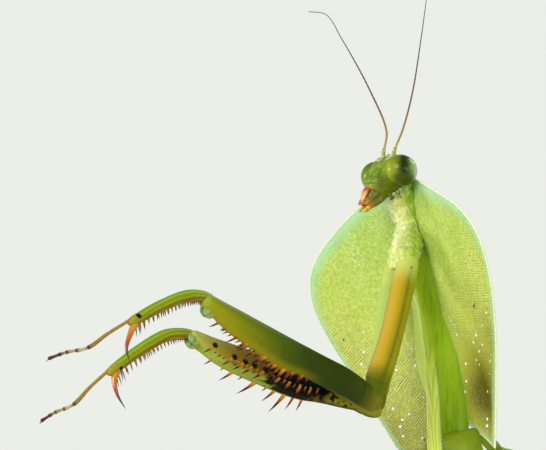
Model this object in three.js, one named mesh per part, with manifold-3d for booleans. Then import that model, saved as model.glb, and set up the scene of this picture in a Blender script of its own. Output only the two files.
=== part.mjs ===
// A life-size standing shield mantis, a leaf-like hooded mantis of the genus Choeradodis, in millimetres,
// +Z up. The animal faces -Y and its left side is +X. It stands on its middle and hind feet with the
// leaf-shaped pronotum held upright and both raptorial legs raised. Every sub-part is one closed solid.
import * as THREE from "three";
import { mergeVertices } from "three/addons/utils/BufferGeometryUtils.js";
import Module from "manifold-3d";

const wasm = await Module();
wasm.setup();

// ---------------------------------------------------------------- driving dimensions
const gap = 0.3; // clearance between neighbouring sub-parts
const sheetThickness = 0.5; // least thickness of shield and wings

const prothorax = {
  joint: [0, 0, 19], // where it meets the mesothorax, in the body frame
  length: 25.5, // from the front of the shield to that joint
  jointDepth: 0.3, // how far the joint lies to the belly side of the prothorax axis
  lean: 14.1, // degrees to the animal's right
  tilt: 3.1, // degrees to the animal's back
};
const trunk = {
  pitch: 36, // slope of the middle and hind thorax, degrees
  thoraxLength: 9,
  abdomenLength: 27,
  turn: 30, // degrees by which the abdomen and wings level out
  turnLength: 30,
};
const head = {
  centre: [0.85, 0.77, 4.33], // to the left, rearward and to the belly side of the shield's front
  turn: [-35.9, 10.65, -11.9], // degrees about x, y and z, the last one first
};

const colours = {
  leaf: 0xa9c846,
  shield: 0xb4cf5a,
  coxa: 0xd2b83c,
  eye: 0x5f7d1e,
  horn: 0x7a4a2a,
  mouth: 0xc9702f,
  membrane: 0xcfd98a,
  wing: 0x9cbf4d,
};

// ---------------------------------------------------------------- small helpers
const vec = (x, y, z) => new THREE.Vector3(x, y, z);
const rad = THREE.MathUtils.degToRad;
const mix = THREE.MathUtils.lerp;
// 0 before the first number, 1 after the second, and a straight rise between them
const ramp = (value, first, second) => Math.min(Math.max((value - first) / (second - first), 0), 1);
const range = (n) => Array.from({ length: n }, (_, i) => i);

// A value that runs smoothly (Catmull-Rom, evenly spaced) through rows of numbers; t goes from 0 to 1.
function through(rows, t) {
  const last = rows.length - 1;
  const at = Math.min(Math.max(t, 0), 1) * last;
  const i = Math.min(Math.floor(at), last - 1);
  const f = at - i;
  const p = [i - 1, i, i + 1, i + 2].map((k) => rows[Math.min(Math.max(k, 0), last)]);
  return p[0].map((_, k) => {
    const [a, b, c, d] = p.map((row) => row[k]);
    const square = 2 * a - 5 * b + 4 * c - d;
    const cube = 3 * b - a - 3 * c + d;
    return 0.5 * (2 * b + (c - a) * f + square * f ** 2 + cube * f ** 3);
  });
}

// The same through rows whose first number is the position, so the rows need not be evenly spaced.
function table(rows, x) {
  let i = 0;
  while (i < rows.length - 2 && x > rows[i + 1][0]) i += 1;
  const f = Math.min(Math.max((x - rows[i][0]) / (rows[i + 1][0] - rows[i][0]), 0), 1);
  return through(rows, (i + f) / (rows.length - 1)).slice(1);
}

// A geometry from points and triangles, turned so that its faces point out.
function closedGeometry(points, triangles) {
  let volume = 0;
  for (const [a, b, c] of triangles) volume += points[a].dot(vec().crossVectors(points[b], points[c]));
  const faces = volume < 0 ? triangles.map(([a, b, c]) => [a, c, b]) : triangles;
  const geometry = new THREE.BufferGeometry().setFromPoints(points);
  geometry.setIndex(faces.flat());
  return geometry;
}

// A closed solid through rings of points; both ends are closed with a fan.
function loft(rings) {
  const n = rings[0].length;
  const points = rings.flat();
  const triangles = [];
  for (let r = 0; r < rings.length - 1; r += 1) {
    for (let j = 0; j < n; j += 1) {
      const a = r * n + j;
      const b = r * n + ((j + 1) % n);
      triangles.push([a, b, b + n], [a, b + n, a + n]);
    }
  }
  for (const [first, flip] of [[0, true], [(rings.length - 1) * n, false]]) {
    const middle = vec(0, 0, 0);
    for (let j = 0; j < n; j += 1) middle.addScaledVector(points[first + j], 1 / n);
    points.push(middle);
    for (let j = 0; j < n; j += 1) {
      const edge = [first + j, first + ((j + 1) % n)];
      triangles.push(flip ? [edge[1], edge[0], points.length - 1] : [...edge, points.length - 1]);
    }
  }
  return closedGeometry(points, triangles);
}

// A closed sheet over a grid of middle points and unit normals, from `below` under it to `above` over it.
function sheet(middle, normal, nu, nv, below, above) {
  const points = [];
  const triangles = [];
  const rows = nv + 1;
  for (const side of [-1, 1]) {
    for (let i = 0; i <= nu; i += 1) {
      for (let j = 0; j <= nv; j += 1) {
        const reach = side < 0 ? -below(i / nu, j / nv) : above(i / nu, j / nv);
        points.push(middle(i / nu, j / nv).addScaledVector(normal(i / nu, j / nv), reach));
      }
    }
  }
  const top = (nu + 1) * rows;
  const at = (i, j) => i * rows + j;
  const quad = (a, b, c, d) => triangles.push([a, b, c], [a, c, d]);
  for (let i = 0; i < nu; i += 1) {
    for (let j = 0; j < nv; j += 1) {
      quad(at(i, j), at(i + 1, j), at(i + 1, j + 1), at(i, j + 1));
      quad(top + at(i, j), top + at(i, j + 1), top + at(i + 1, j + 1), top + at(i + 1, j));
    }
    quad(at(i, 0), top + at(i, 0), top + at(i + 1, 0), at(i + 1, 0));
    quad(at(i, nv), at(i + 1, nv), top + at(i + 1, nv), top + at(i, nv));
  }
  for (let j = 0; j < nv; j += 1) {
    quad(at(0, j), at(0, j + 1), top + at(0, j + 1), top + at(0, j));
    quad(at(nu, j), top + at(nu, j), top + at(nu, j + 1), at(nu, j + 1));
  }
  return closedGeometry(points, triangles);
}

// The normal of a surface given as a function of two parameters, from small steps.
const normalOf = (surface, flip = 1) => (a, b) => {
  const step = 1e-3;
  const inside = (x) => Math.min(Math.max(x, step), 1 - step);
  const [p, q] = [inside(a), inside(b)];
  const along = surface(p + step, q).sub(surface(p - step, q));
  const across = surface(p, q + step).sub(surface(p, q - step));
  return along.cross(across).normalize().multiplyScalar(flip);
};

// A limb of rings along a path. size(t) gives the half width along `side` and the half depth, `grow` fattens
// it, and a `square` under 1 squares its section.
function limb({ path, side, size, rings = 8, sides = 8, grow = 0, square = 1 }) {
  return loft(
    range(rings + 1).map((i) => {
      const t = i / rings;
      const tangent = path(Math.min(t + 1e-3, 1)).sub(path(Math.max(t - 1e-3, 0))).normalize();
      const across = side.clone().addScaledVector(tangent, -side.dot(tangent)).normalize();
      const deep = vec().crossVectors(tangent, across);
      const [width, depth] = size(t);
      return range(sides).map((j) => {
        const angle = ((j + 0.5) / sides) * Math.PI * 2;
        const [c, s] = [Math.cos(angle), Math.sin(angle)];
        const round = (x) => Math.sign(x) * Math.abs(x) ** square;
        return path(t)
          .addScaledVector(across, round(c) * (width + grow))
          .addScaledVector(deep, round(s) * (depth + grow));
      });
    }),
  );
}

const straight = (from, to) => (t) => from.clone().lerp(to, t);
const bent = (...points) => {
  const curve = new THREE.CatmullRomCurve3(points);
  return (t) => curve.getPoint(t);
};

// A four-sided pointed spine from a sunk root to its tip.
function spine(root, tip, radius) {
  const axis = tip.clone().sub(root);
  const height = axis.length();
  const turn = new THREE.Quaternion().setFromUnitVectors(vec(0, 1, 0), axis.normalize());
  const middle = root.clone().lerp(tip, 0.5);
  return new THREE.ConeGeometry(radius, height, 4).applyMatrix4(
    new THREE.Matrix4().compose(middle, turn, vec(1, 1, 1)),
  );
}

// ---------------------------------------------------------------- joining and cutting
function solid(geometry, matrix) {
  const bare = new THREE.BufferGeometry();
  bare.setAttribute("position", geometry.getAttribute("position").clone());
  bare.setIndex(geometry.index);
  if (matrix) bare.applyMatrix4(matrix);
  const merged = mergeVertices(bare, 1e-4);
  const vertProperties = merged.getAttribute("position").array;
  return new wasm.Manifold(
    new wasm.Mesh({ numProp: 3, vertProperties, triVerts: new Uint32Array(merged.index.array) }),
  );
}

function geometryOf(made) {
  const mesh = made.getMesh();
  const geometry = new THREE.BufferGeometry();
  geometry.setAttribute("position", new THREE.BufferAttribute(mesh.vertProperties, 3));
  geometry.setIndex(new THREE.BufferAttribute(mesh.triVerts, 1));
  return geometry;
}

const join = (first, ...rest) => rest.reduce((sum, piece) => sum.add(piece), first);

// The part of a solid on the side of a plane that `normal` points to.
function keep(made, point, normal) {
  const reach = 200;
  const block = new THREE.BoxGeometry(reach, reach, reach).translate(0, 0, reach / 2);
  const turn = new THREE.Quaternion().setFromUnitVectors(vec(0, 0, 1), normal.clone().normalize());
  return made.intersect(solid(block, new THREE.Matrix4().compose(point, turn, vec(1, 1, 1))));
}

// The plane that parts two limbs at a joint, as the point and the direction from the first to the second.
function miter(before, joint, after) {
  const into = joint.clone().sub(before).normalize();
  return into.add(after.clone().sub(joint).normalize()).normalize();
}
const upTo = (made, joint, direction) =>
  keep(made, joint.clone().addScaledVector(direction, -gap / 2), direction.clone().negate());
const from = (made, joint, direction) =>
  keep(made, joint.clone().addScaledVector(direction, gap / 2), direction);

// ---------------------------------------------------------------- the scene graph
const mantis = new THREE.Group();
const foreBody = new THREE.Group(); // the upright prothorax and all it carries
const headGroup = new THREE.Group();
mantis.add(foreBody);
foreBody.add(headGroup);

function add(group, name, made, colour, roughness = 0.45) {
  const geometry = made.isBufferGeometry ? made : geometryOf(made);
  const mesh = new THREE.Mesh(geometry, new THREE.MeshStandardMaterial({ color: colour, roughness }));
  mesh.name = name;
  group.add(mesh);
}

// The fore body's own frame: x to the animal's left, y to its back, z towards the head.
// fore(left, rear, belly) turns distances from the front of the shield into that frame.
const fore = (left, rear, belly) => vec(left, -belly, -rear);
const jointInFore = fore(0, prothorax.length, prothorax.jointDepth);
foreBody.rotation.set(-rad(prothorax.tilt), -rad(prothorax.lean), 0, "YXZ");
foreBody.position.copy(
  vec(...prothorax.joint).sub(jointInFore.clone().applyEuler(foreBody.rotation)),
);
foreBody.updateMatrixWorld(true);
headGroup.position.copy(fore(...head.centre));
const headTurn = new THREE.Euler(...head.turn.map(rad), "ZYX");
headGroup.rotation.copy(headTurn);
headGroup.updateMatrix();

// ---------------------------------------------------------------- pronotum shield
// Half outline of the leaf-like shield from its front point round the shoulder to its rear point:
// distance to the side, distance to the rear, and height towards the belly.
const shieldRim = [
  [2.75, 0.95, 2.5],
  [6.9, 3.5, 3.95],
  [10.15, 6.1, 4.4],
  [11.45, 9.1, 3.8],
  [10.95, 13.1, 2.55],
  [9.2, 17.9, 1.15],
  [7.1, 23.3, 0.13],
  [5.3, 27.2, -0.7],
];
// The middle line of the shield: distance to the rear, height towards the belly.
const shieldMiddle = [
  [2.6, 1.6],
  [8.5, 0.2],
  [15, -0.35],
  [20, -1.1],
  [23, -1.3],
];
const shieldArch = 1.2; // how late the lobes start to droop
const marginBow = [-0.6, -1.6]; // how far the front and rear margins bow in

// along 0 to 1 from front to rear, across -1 to 1 from the right rim to the left rim
// (grow lengthens it past both margins)
function shieldPoint(along, across, grow = 0) {
  const b = Math.abs(across);
  const [rimSide, rimRear, rimBelly] = through(shieldRim, along);
  const [midRear, midBelly] = through(shieldMiddle, along);
  const bow = mix(marginBow[0], marginBow[1], along) * 4 * b * (1 - b) * (2 * along - 1) ** 2;
  const rear = mix(midRear, rimRear, b) + bow * Math.sign(along - 0.5) + grow * (2 * along - 1) ** 9;
  return fore(rimSide * across, rear, mix(midBelly, rimBelly, b ** shieldArch));
}
const shieldSurface = (a, b) => shieldPoint(a, 2 * b - 1);
const shieldNormal = normalOf(shieldSurface);
const shieldGrid = [14, 12];
const keelHeight = 0.75;
const keelWidth = 0.1; // share of the half width
const shieldBack = (a, b) => sheetThickness / 2 + keelHeight * Math.exp(-(((2 * b - 1) / keelWidth) ** 2));
const shieldBelly = () => sheetThickness / 2;
const towardsBack = shieldNormal(0.5, 0.5).y > 0 ? 1 : -1;
const shieldOut = normalOf(shieldSurface, towardsBack);
add(
  foreBody,
  "pronotum_shield",
  sheet(shieldSurface, shieldOut, ...shieldGrid, shieldBelly, shieldBack),
  colours.shield,
  0.4,
);
// everything above the shield's belly side, with the clearance, to cut the prothorax from
const cutHeight = 4;
const shieldCutter = solid(
  sheet(
    (a, b) => shieldPoint(a, 2 * b - 1, gap),
    shieldOut,
    ...shieldGrid,
    () => sheetThickness / 2 + gap,
    () => cutHeight,
  ),
);

// ---------------------------------------------------------------- prothorax under the shield
// rear, belly-side height, half width at the shield, half width at the ridge, height at the shield
const prothoraxRows = [
  [4.9, 3.1, 2.1, 1.1, 0.6],
  [7.0, 3.8, 2.8, 1.5, 0.2],
  [9.2, 3.5, 3.0, 1.4, 0.1],
  [11.5, 1.75, 2.9, 0.7, -0.3],
  [16, 1.25, 2.8, 0.65, -0.8],
  [21, 1.25, 2.7, 0.8, -1.2],
  [25, 1.6, 2.2, 1.1, -0.8],
  [27, 1.8, 2.1, 1.2, -0.8],
];
const prothoraxSteps = 10;
function prothoraxLoft(grow) {
  return loft(
    range(prothoraxSteps + 1).map((i) => {
      const rear = mix(prothoraxRows[0][0], prothoraxRows.at(-1)[0], i / prothoraxSteps);
      const [belly, wide, narrow, back] = table(prothoraxRows, rear);
      const bellyOut = belly + grow;
      const backOut = back - grow;
      const half = [
        [wide + grow, backOut],
        [wide + grow, mix(backOut, bellyOut, 0.3)],
        [mix(wide, narrow, 0.55) + grow, mix(backOut, bellyOut, 0.72)],
        [narrow * 0.85 + grow, bellyOut - 0.12],
        [narrow * 0.35 + grow * 0.5, bellyOut],
      ];
      const other = half.map(([x, y]) => [-x, y]).reverse();
      return [...half, ...other].map(([x, y]) => fore(x, rear, y));
    }),
  );
}
const thoraxDirection = vec(0, Math.cos(rad(trunk.pitch)), -Math.sin(rad(trunk.pitch)));
const waistWorld = vec(...prothorax.joint);
const foreDown = fore(0, 1, 0).applyEuler(foreBody.rotation);
const waistNormal = foreDown.clone().add(thoraxDirection).normalize();
const intoFore = foreBody.matrixWorld.clone().invert();
const waist = waistWorld.clone().applyMatrix4(intoFore);
const waistNormalFore = waistNormal.clone().transformDirection(intoFore);
const prothoraxSolid = upTo(
  solid(prothoraxLoft(0)).subtract(shieldCutter),
  waist,
  waistNormalFore,
);
add(foreBody, "prothorax", prothoraxSolid, colours.leaf);
const prothoraxCutter = solid(prothoraxLoft(gap));

// ---------------------------------------------------------------- head
// The head's frame: x to the left, y to the back, z to the crown.
// height, half width, front, back
const headRows = [
  [-1.8, 0.85, -1.25, 0.5],
  [-1.2, 1.1, -1.32, 1.0],
  [-0.5, 1.5, -1.35, 1.4],
  [0.3, 1.95, -1.32, 1.42],
  [1.0, 2.1, -1.25, 1.25],
  [1.7, 1.95, -1.1, 1.0],
  [2.3, 1.4, -0.85, 0.7],
  [2.6, 0.7, -0.4, 0.4],
];
const headSteps = 9;
const headSides = 12;
function headLoft(grow) {
  return loft(
    range(headSteps + 1).map((i) => {
      const height = mix(headRows[0][0] - grow, headRows.at(-1)[0] + grow, i / headSteps);
      const [width, front, back] = table(headRows, height);
      return range(headSides).map((j) => {
        const angle = (j / headSides) * Math.PI * 2;
        const depth = (back - front) / 2 + grow;
        const x = (width + grow) * Math.cos(angle);
        return vec(x, (front + back) / 2 + depth * Math.sin(angle), height);
      });
    }),
  );
}
const eye = { centre: [2.2, 0, 0.95], radii: [1.35, 1.42, 1.32] };
function eyeMatrix(sideSign, grow) {
  const centre = vec(sideSign * eye.centre[0], eye.centre[1], eye.centre[2]);
  const radii = vec(...eye.radii.map((r) => r + grow));
  return new THREE.Matrix4().compose(centre, new THREE.Quaternion(), radii);
}
const ball = new THREE.SphereGeometry(1, 12, 8);
const bothSides = Object.entries({ left: 1, right: -1 });
let headSolid = solid(headLoft(0));
const headCutter = solid(headLoft(gap));
for (const [name, sideSign] of bothSides) {
  headSolid = headSolid.subtract(solid(ball, eyeMatrix(sideSign, gap)));
  add(headGroup, "eye_" + name, solid(ball, eyeMatrix(sideSign, 0)), colours.eye, 0.12);
}
add(headGroup, "head", headSolid, colours.leaf);

// Below the face hang the labrum, lower lip, mandibles and palps. Each is cut clear of those before it.
// size: half width at the root and at the tip, half depth at the root and at the tip
const mouthParts = {
  labrum: {
    path: [[0, -1.07, -1.9], [0, -1.05, -2.6], [0, -0.9, -3.25]],
    size: [0.6, 0.42, 0.26, 0.2],
  },
  lower_lip: {
    path: [[0, 0.3, -1.2], [0, 0.15, -2.5], [0, -0.1, -3.75]],
    size: [0.34, 0.26, 0.26, 0.24],
  },
};
for (const [name, sideSign] of bothSides) {
  const across = (points) => points.map(([x, y, z]) => [x * sideSign, y, z]);
  mouthParts["mandible_" + name] = {
    path: across([[0.62, -0.35, -1.4], [0.68, -0.35, -2.4], [0.5, -0.5, -3.3]]),
    size: [0.28, 0.14, 0.34, 0.22],
  };
  mouthParts["palp_" + name] = {
    path: across([[1.0, 0.5, -1.0], [1.12, 0.42, -2.1], [0.9, 0.15, -3.0], [0.45, -0.1, -3.8]]),
    size: [0.26, 0.22, 0.28, 0.22],
  };
}
const mouthGap = 0.2;
let mouthTaken = headCutter;
for (const [name, { path, size }] of Object.entries(mouthParts)) {
  const shape = {
    path: bent(...path.map((p) => vec(...p))),
    side: vec(1, 0, 0),
    size: (t) => [mix(size[0], size[1], t), mix(size[2], size[3], t)],
    rings: 5,
    sides: 6,
  };
  add(headGroup, name, solid(limb(shape)).subtract(mouthTaken), colours.mouth, 0.3);
  mouthTaken = mouthTaken.add(solid(limb({ ...shape, grow: mouthGap })));
}

// antennae: a thick root joint and a long thread
const antennaPaths = {
  left: [
    [0.75, -0.6, 1.7],
    [0.95, -1.05, 2.3],
    [1.6, -1.75, 4.4],
    [2.0, -3.0, 7.7],
    [2.5, -5.25, 12.2],
    [3.3, -7.7, 16.4],
  ],
  right: [
    [-0.7, -0.7, 1.7],
    [-0.8, -1.15, 2.3],
    [-0.7, -2.0, 4.1],
    [-1.3, -5.3, 6.5],
    [-2.4, -9.8, 9.1],
    [-3.1, -12.2, 10.3],
    [-4.0, -13.5, 9.8],
  ],
};
const antennaRadius = [0.34, 0.25]; // of the root joint and of the thread
for (const [name, points] of Object.entries(antennaPaths)) {
  const radius = (t) => mix(...antennaRadius, Math.min(t * 12, 1));
  const thread = limb({
    path: bent(...points.map((p) => vec(...p))),
    side: vec(1, 0, 0),
    size: (t) => [radius(t), radius(t)],
    rings: 16,
    sides: 5,
  });
  add(headGroup, "antenna_" + name, solid(thread).subtract(headCutter), colours.horn);
}

// ---------------------------------------------------------------- neck
const neck = { width: [1.2, 1.65], depth: 0.95, fold: 0.11, folds: 13 };
const neckFold = (t) => neck.fold * Math.sin(t * neck.folds);
const neckShape = {
  path: bent(fore(0.87, 1.1, 3.85), fore(0.6, 2.3, 3.2), fore(0.15, 4.0, 2.75), fore(0, 6, 2.6)),
  side: vec(1, 0, 0),
  size: (t) => [mix(...neck.width, t) + neckFold(t), neck.depth + neckFold(t)],
  rings: 6,
  sides: 8,
};
add(
  foreBody,
  "neck",
  solid(limb(neckShape))
    .subtract(solid(headLoft(gap), headGroup.matrix))
    .subtract(prothoraxCutter)
    .subtract(shieldCutter),
  colours.membrane,
);

// ---------------------------------------------------------------- raptorial legs
// Joint positions on the fore body, each to the left, rearward and to the belly side:
// shoulder, elbow (coxa to femur), knee, wrist (tibia to foot), foot joint, toe.
const raptorial = {
  left: [
    [1.6, 8.0, 3.75],
    [2.4, 22.6, 10.85],
    [1.25, 13.7, 29.25],
    [0.76, 17.1, 38.1],
    [0.46, 19.4, 43.3],
    [0.16, 20.7, 48.1],
  ],
  right: [
    [-1.35, 7.9, 2.2],
    [0, 22.4, 8.25],
    [-4.23, 15.55, 27.1],
    [-5.6, 19.95, 35.4],
    [-6.3, 22.6, 39.7],
    [-6.9, 24.3, 43.5],
  ],
};
// half thicknesses and half depths
const coxaSize = { thick: [1.02, 1.05], deep: 1.22, swell: 0.12, taper: 0.3, bow: [0, -0.25, 0.35] };
const trochanterSize = { length: 2.3, thick: 0.88, deep: 1.18, root: 0.75 };
const tibiaSize = { thick: [0.48, 0.42], deep: 0.5, swell: 0.12, bow: -0.3 };
const clawSize = { thick: [0.4, 0.07], deep: [0.46, 0.08] };
const footSize = { radius: 0.27, knot: 0.05, knots: 5 };
// share of the length, half thickness, half depth
const femurRows = [
  [0, 0.8, 1.25],
  [0.15, 0.92, 1.58],
  [0.35, 0.95, 1.62],
  [0.6, 0.85, 1.36],
  [0.82, 0.75, 1.0],
  [1, 0.72, 0.85],
];
// spines of the femur: share of its length of the first and last, place across it, length
const spineRows = {
  inner: { count: 12, from: 0.33, to: 0.93, side: 0.72, length: (i) => (i % 2 ? 1.0 : 0.6) },
  outer: { count: 4, from: 0.36, to: 0.8, side: -0.72, length: () => 1.45 },
  discoidal: { count: 3, from: 0.27, to: 0.4, side: 0, length: (i) => 1.3 + 0.3 * i },
  knee: { count: 1, from: 0.96, to: 0.96, side: -0.6, length: () => 0.9 },
};
// combs of the tibia: place across it, number of spines
const combs = [
  [-0.8, 8],
  [0.8, 10],
];
const combSpan = [0.2, 0.93];
const combLength = [0.7, 1.35];

function raptorialLeg(name, sideSign) {
  const [shoulder, elbow, knee, wrist, footJoint, toe] = raptorial[name].map((p) => fore(...p));
  const along = knee.clone().sub(elbow).normalize();
  const shin = wrist.clone().sub(knee).normalize();
  const below = shin.clone().addScaledVector(along, -shin.dot(along)).normalize();
  const outward = vec().crossVectors(along, below).normalize();
  if (outward.x * sideSign < 0) outward.negate();

  // coxa, a slightly bowed three-edged rod
  const coxaEnd = elbow.clone().addScaledVector(elbow.clone().sub(shoulder).normalize(), 1.1);
  const coxaMiddle = shoulder.clone().lerp(elbow, 0.5).add(fore(...coxaSize.bow));
  const coxa = limb({
    path: bent(shoulder, coxaMiddle, coxaEnd),
    side: outward,
    size: (t) => {
      const end = 1 - coxaSize.taper * t ** 8;
      const deep = coxaSize.deep + coxaSize.swell * Math.cos(2 * Math.PI * t);
      return [mix(...coxaSize.thick, t) * end, deep * end];
    },
    rings: 7,
    sides: 8,
    square: 0.9,
  });
  const atElbow = miter(shoulder, elbow, knee);
  const coxaSolid = upTo(solid(coxa).subtract(prothoraxCutter), elbow, atElbow);
  add(foreBody, "fore_coxa_" + name, coxaSolid, colours.coxa);

  // trochanter, the short link under the root of the femur
  const femurRoot = elbow.clone().addScaledVector(along, trochanterSize.length);
  const beyondRoot = femurRoot.clone().addScaledVector(along, 0.6);
  const trochanter = limb({
    path: straight(elbow.clone().addScaledVector(along, -0.9), beyondRoot),
    side: outward,
    size: (t) => {
      const root = Math.min(1, trochanterSize.root + t);
      return [trochanterSize.thick * root, trochanterSize.deep * root];
    },
    rings: 4,
    sides: 8,
  });
  const trochanterPlane = along.clone().addScaledVector(below, 0.35).normalize();
  add(
    foreBody,
    "fore_trochanter_" + name,
    upTo(from(solid(trochanter), elbow, atElbow), femurRoot, trochanterPlane),
    colours.coxa,
  );

  // femur with its rows of spines along the lower side
  const femurLine = straight(
    femurRoot.clone().addScaledVector(along, -0.8),
    knee.clone().addScaledVector(along, 0.55),
  );
  const femurPath = (t) => femurLine(t).addScaledVector(below, 0.15 * Math.sin(Math.PI * t));
  const femurSize = (t) => table(femurRows, t);
  let femur = solid(limb({ path: femurPath, side: outward, size: femurSize, rings: 9, sides: 8 }));
  for (const row of Object.values(spineRows)) {
    for (const i of range(row.count)) {
      const t = mix(row.from, row.to, row.count > 1 ? i / (row.count - 1) : 0);
      const [thick, deep] = femurSize(t);
      const root = femurPath(t)
        .addScaledVector(outward, -row.side * thick)
        .addScaledVector(below, deep * (0.55 + 0.2 * (1 - Math.abs(row.side))));
      const length = row.length(i) + deep * 0.4;
      const tip = root
        .clone()
        .addScaledVector(below, length)
        .addScaledVector(along, 0.12 * length)
        .addScaledVector(outward, -row.side * 0.35 * length);
      femur = femur.add(solid(spine(root, tip, 0.2 + 0.05 * row.length(i))));
    }
  }
  const atKnee = miter(elbow, knee, wrist);
  femur = upTo(from(femur, femurRoot, trochanterPlane), knee, atKnee);
  add(foreBody, "fore_femur_" + name, femur, colours.leaf);

  // tibia with two combs of spines and its long end claw
  const under = below.clone().addScaledVector(shin, -below.dot(shin)).normalize();
  const tibiaPath = bent(
    knee.clone().addScaledVector(shin, -0.7),
    knee.clone().lerp(wrist, 0.5).addScaledVector(under, tibiaSize.bow),
    wrist,
  );
  const tibiaSection = (t) => [
    mix(...tibiaSize.thick, t),
    tibiaSize.deep + tibiaSize.swell * Math.sin(Math.PI * t),
  ];
  const clawPath = bent(
    wrist.clone().addScaledVector(shin, -1.1).addScaledVector(under, 0.1),
    wrist.clone().addScaledVector(shin, 0.15).addScaledVector(under, 0.75),
    wrist.clone().addScaledVector(shin, 0.95).addScaledVector(under, 2.0),
    wrist.clone().addScaledVector(shin, 1.1).addScaledVector(under, 3.5),
  );
  const clawSection = (t) => [mix(...clawSize.thick, t), mix(...clawSize.deep, t)];
  const tibiaBody = (grow) => {
    const shaft = { path: tibiaPath, side: outward, size: tibiaSection, rings: 5, sides: 6, grow };
    const claw = { path: clawPath, side: outward, size: clawSection, rings: 5, sides: 5, grow };
    return solid(limb(shaft)).add(solid(limb(claw)));
  };
  let tibia = tibiaBody(0);
  for (const [rowSide, count] of combs) {
    for (const i of range(count)) {
      const t = mix(...combSpan, i / (count - 1));
      const [thick, deep] = tibiaSection(t);
      const root = tibiaPath(t)
        .addScaledVector(outward, rowSide * thick)
        .addScaledVector(under, deep * 0.4);
      const length = mix(...combLength, i / (count - 1)) + deep * 0.4;
      const tip = root
        .clone()
        .addScaledVector(under, length * 0.85)
        .addScaledVector(shin, length * 0.4)
        .addScaledVector(outward, rowSide * 0.2 * length);
      tibia = tibia.add(solid(spine(root, tip, 0.17)));
    }
  }
  tibia = from(tibia, knee, atKnee);
  add(foreBody, "fore_tibia_" + name, tibia, colours.leaf);

  // the long thin foot
  const rise = under.clone().multiplyScalar(-0.3);
  const footPath = bent(
    wrist.clone().addScaledVector(shin, -0.5).add(rise),
    wrist.clone().lerp(footJoint, 0.5).addScaledVector(rise, 0.6),
    footJoint,
    footJoint.clone().lerp(toe, 0.5).addScaledVector(rise, 0.4),
    toe,
  );
  const footRadius = (t) =>
    footSize.radius + footSize.knot * Math.cos(t * footSize.knots * 2 * Math.PI) ** 8;
  const foot = limb({
    path: footPath,
    side: outward,
    size: (t) => [footRadius(t), footRadius(t)],
    rings: 10,
    sides: 6,
  });
  add(foreBody, "fore_tarsus_" + name, solid(foot).subtract(tibiaBody(gap)), colours.coxa);
}
for (const [name, sideSign] of bothSides) raptorialLeg(name, sideSign);

// ---------------------------------------------------------------- middle and hind thorax, abdomen
// The body axis runs straight down and back through the thorax, then levels out along an arc.
const bendRadius = trunk.turnLength / rad(trunk.turn);
function bodyAxis(l) {
  const start = rad(trunk.pitch);
  const straightPart = Math.min(l, trunk.thoraxLength);
  const turned = Math.min(Math.max(l - trunk.thoraxLength, 0), trunk.turnLength) / bendRadius;
  const rest = Math.max(l - trunk.thoraxLength - trunk.turnLength, 0);
  const pitch = start - turned;
  const along = (angle) => vec(0, Math.cos(angle), -Math.sin(angle));
  const up = (angle) => vec(0, Math.sin(angle), Math.cos(angle));
  const point = waistWorld
    .clone()
    .addScaledVector(along(start), straightPart)
    .addScaledVector(up(start), bendRadius)
    .addScaledVector(up(pitch), -bendRadius)
    .addScaledVector(along(pitch), rest);
  return { point, up: up(pitch) };
}
// A point by its distance along the axis, to the left and above the axis.
function body(l, left, above) {
  const axis = bodyAxis(l);
  return axis.point.addScaledVector(axis.up, above).add(vec(left, 0, 0));
}
// A stretch of the body: rows hold the distance along, half width, height above and depth below the axis.
function bodyLoft(rows, start, end, steps, grow = 0, bulge = 0, sides = 12) {
  return loft(
    range(steps + 1).map((i) => {
      const l = mix(start, end, i / steps);
      const [width, above, below] = table(rows, l);
      const swell = 1 + bulge * Math.sin((Math.PI * i) / steps);
      return range(sides).map((j) => {
        const angle = ((j + 0.5) / sides) * Math.PI * 2;
        const [c, s] = [Math.cos(angle), Math.sin(angle)];
        const round = (x) => Math.sign(x) * Math.abs(x) ** 0.85;
        const height = s > 0 ? above : below;
        return body(l, round(c) * (width * swell + grow), round(s) * (height * swell + grow));
      });
    }),
  );
}
// distance along the body axis, half width, height above the axis, depth below it
const thoraxRows = [
  [-1.5, 1.9, 1.3, 1.2],
  [0, 2.2, 1.7, 1.6],
  [2, 2.9, 2.1, 2.2],
  [5, 3.3, 1.95, 2.5],
  [9.5, 3.5, 1.9, 2.3],
];
const thoraxSplit = 4.5;
const thoraxCutter = solid(bodyLoft(thoraxRows, -1.5, 9.5, 11, gap));
add(
  mantis,
  "mesothorax",
  from(solid(bodyLoft(thoraxRows, -1.5, thoraxSplit - gap / 2, 6)), waistWorld, waistNormal),
  colours.leaf,
);
add(
  mantis,
  "metathorax",
  solid(bodyLoft(thoraxRows, thoraxSplit + gap / 2, trunk.thoraxLength, 4)),
  colours.leaf,
);

const abdomenRows = [
  [9, 3.3, 1.7, 2.1],
  [14, 4.0, 1.8, 2.4],
  [21, 4.4, 1.8, 2.6],
  [28, 3.8, 1.6, 2.3],
  [33, 2.5, 1.2, 1.6],
  [36, 1.1, 0.6, 0.8],
];
const abdomenEnd = abdomenRows.at(-1)[0];
const abdomenStart = trunk.thoraxLength + gap;
const segmentCount = 7;
const segmentLength = trunk.abdomenLength / segmentCount;
const abdomenCutter = solid(bodyLoft(abdomenRows, abdomenStart, abdomenEnd, 12, gap));
for (const i of range(segmentCount)) {
  const start = abdomenStart + i * segmentLength;
  const last = i === segmentCount - 1;
  const end = last ? abdomenEnd : start + segmentLength - gap;
  const name = last ? "abdomen_tip" : "abdomen_" + (i + 1);
  add(mantis, name, solid(bodyLoft(abdomenRows, start, end, last ? 3 : 2, 0, 0.03)), colours.leaf);
}
const cercusPoints = [
  [33.6, 1.3, 0.1],
  [35.4, 2.5, 0.15],
  [37.6, 3.2, 0.2],
];
const cercusRadius = [0.42, 0.25];
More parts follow.
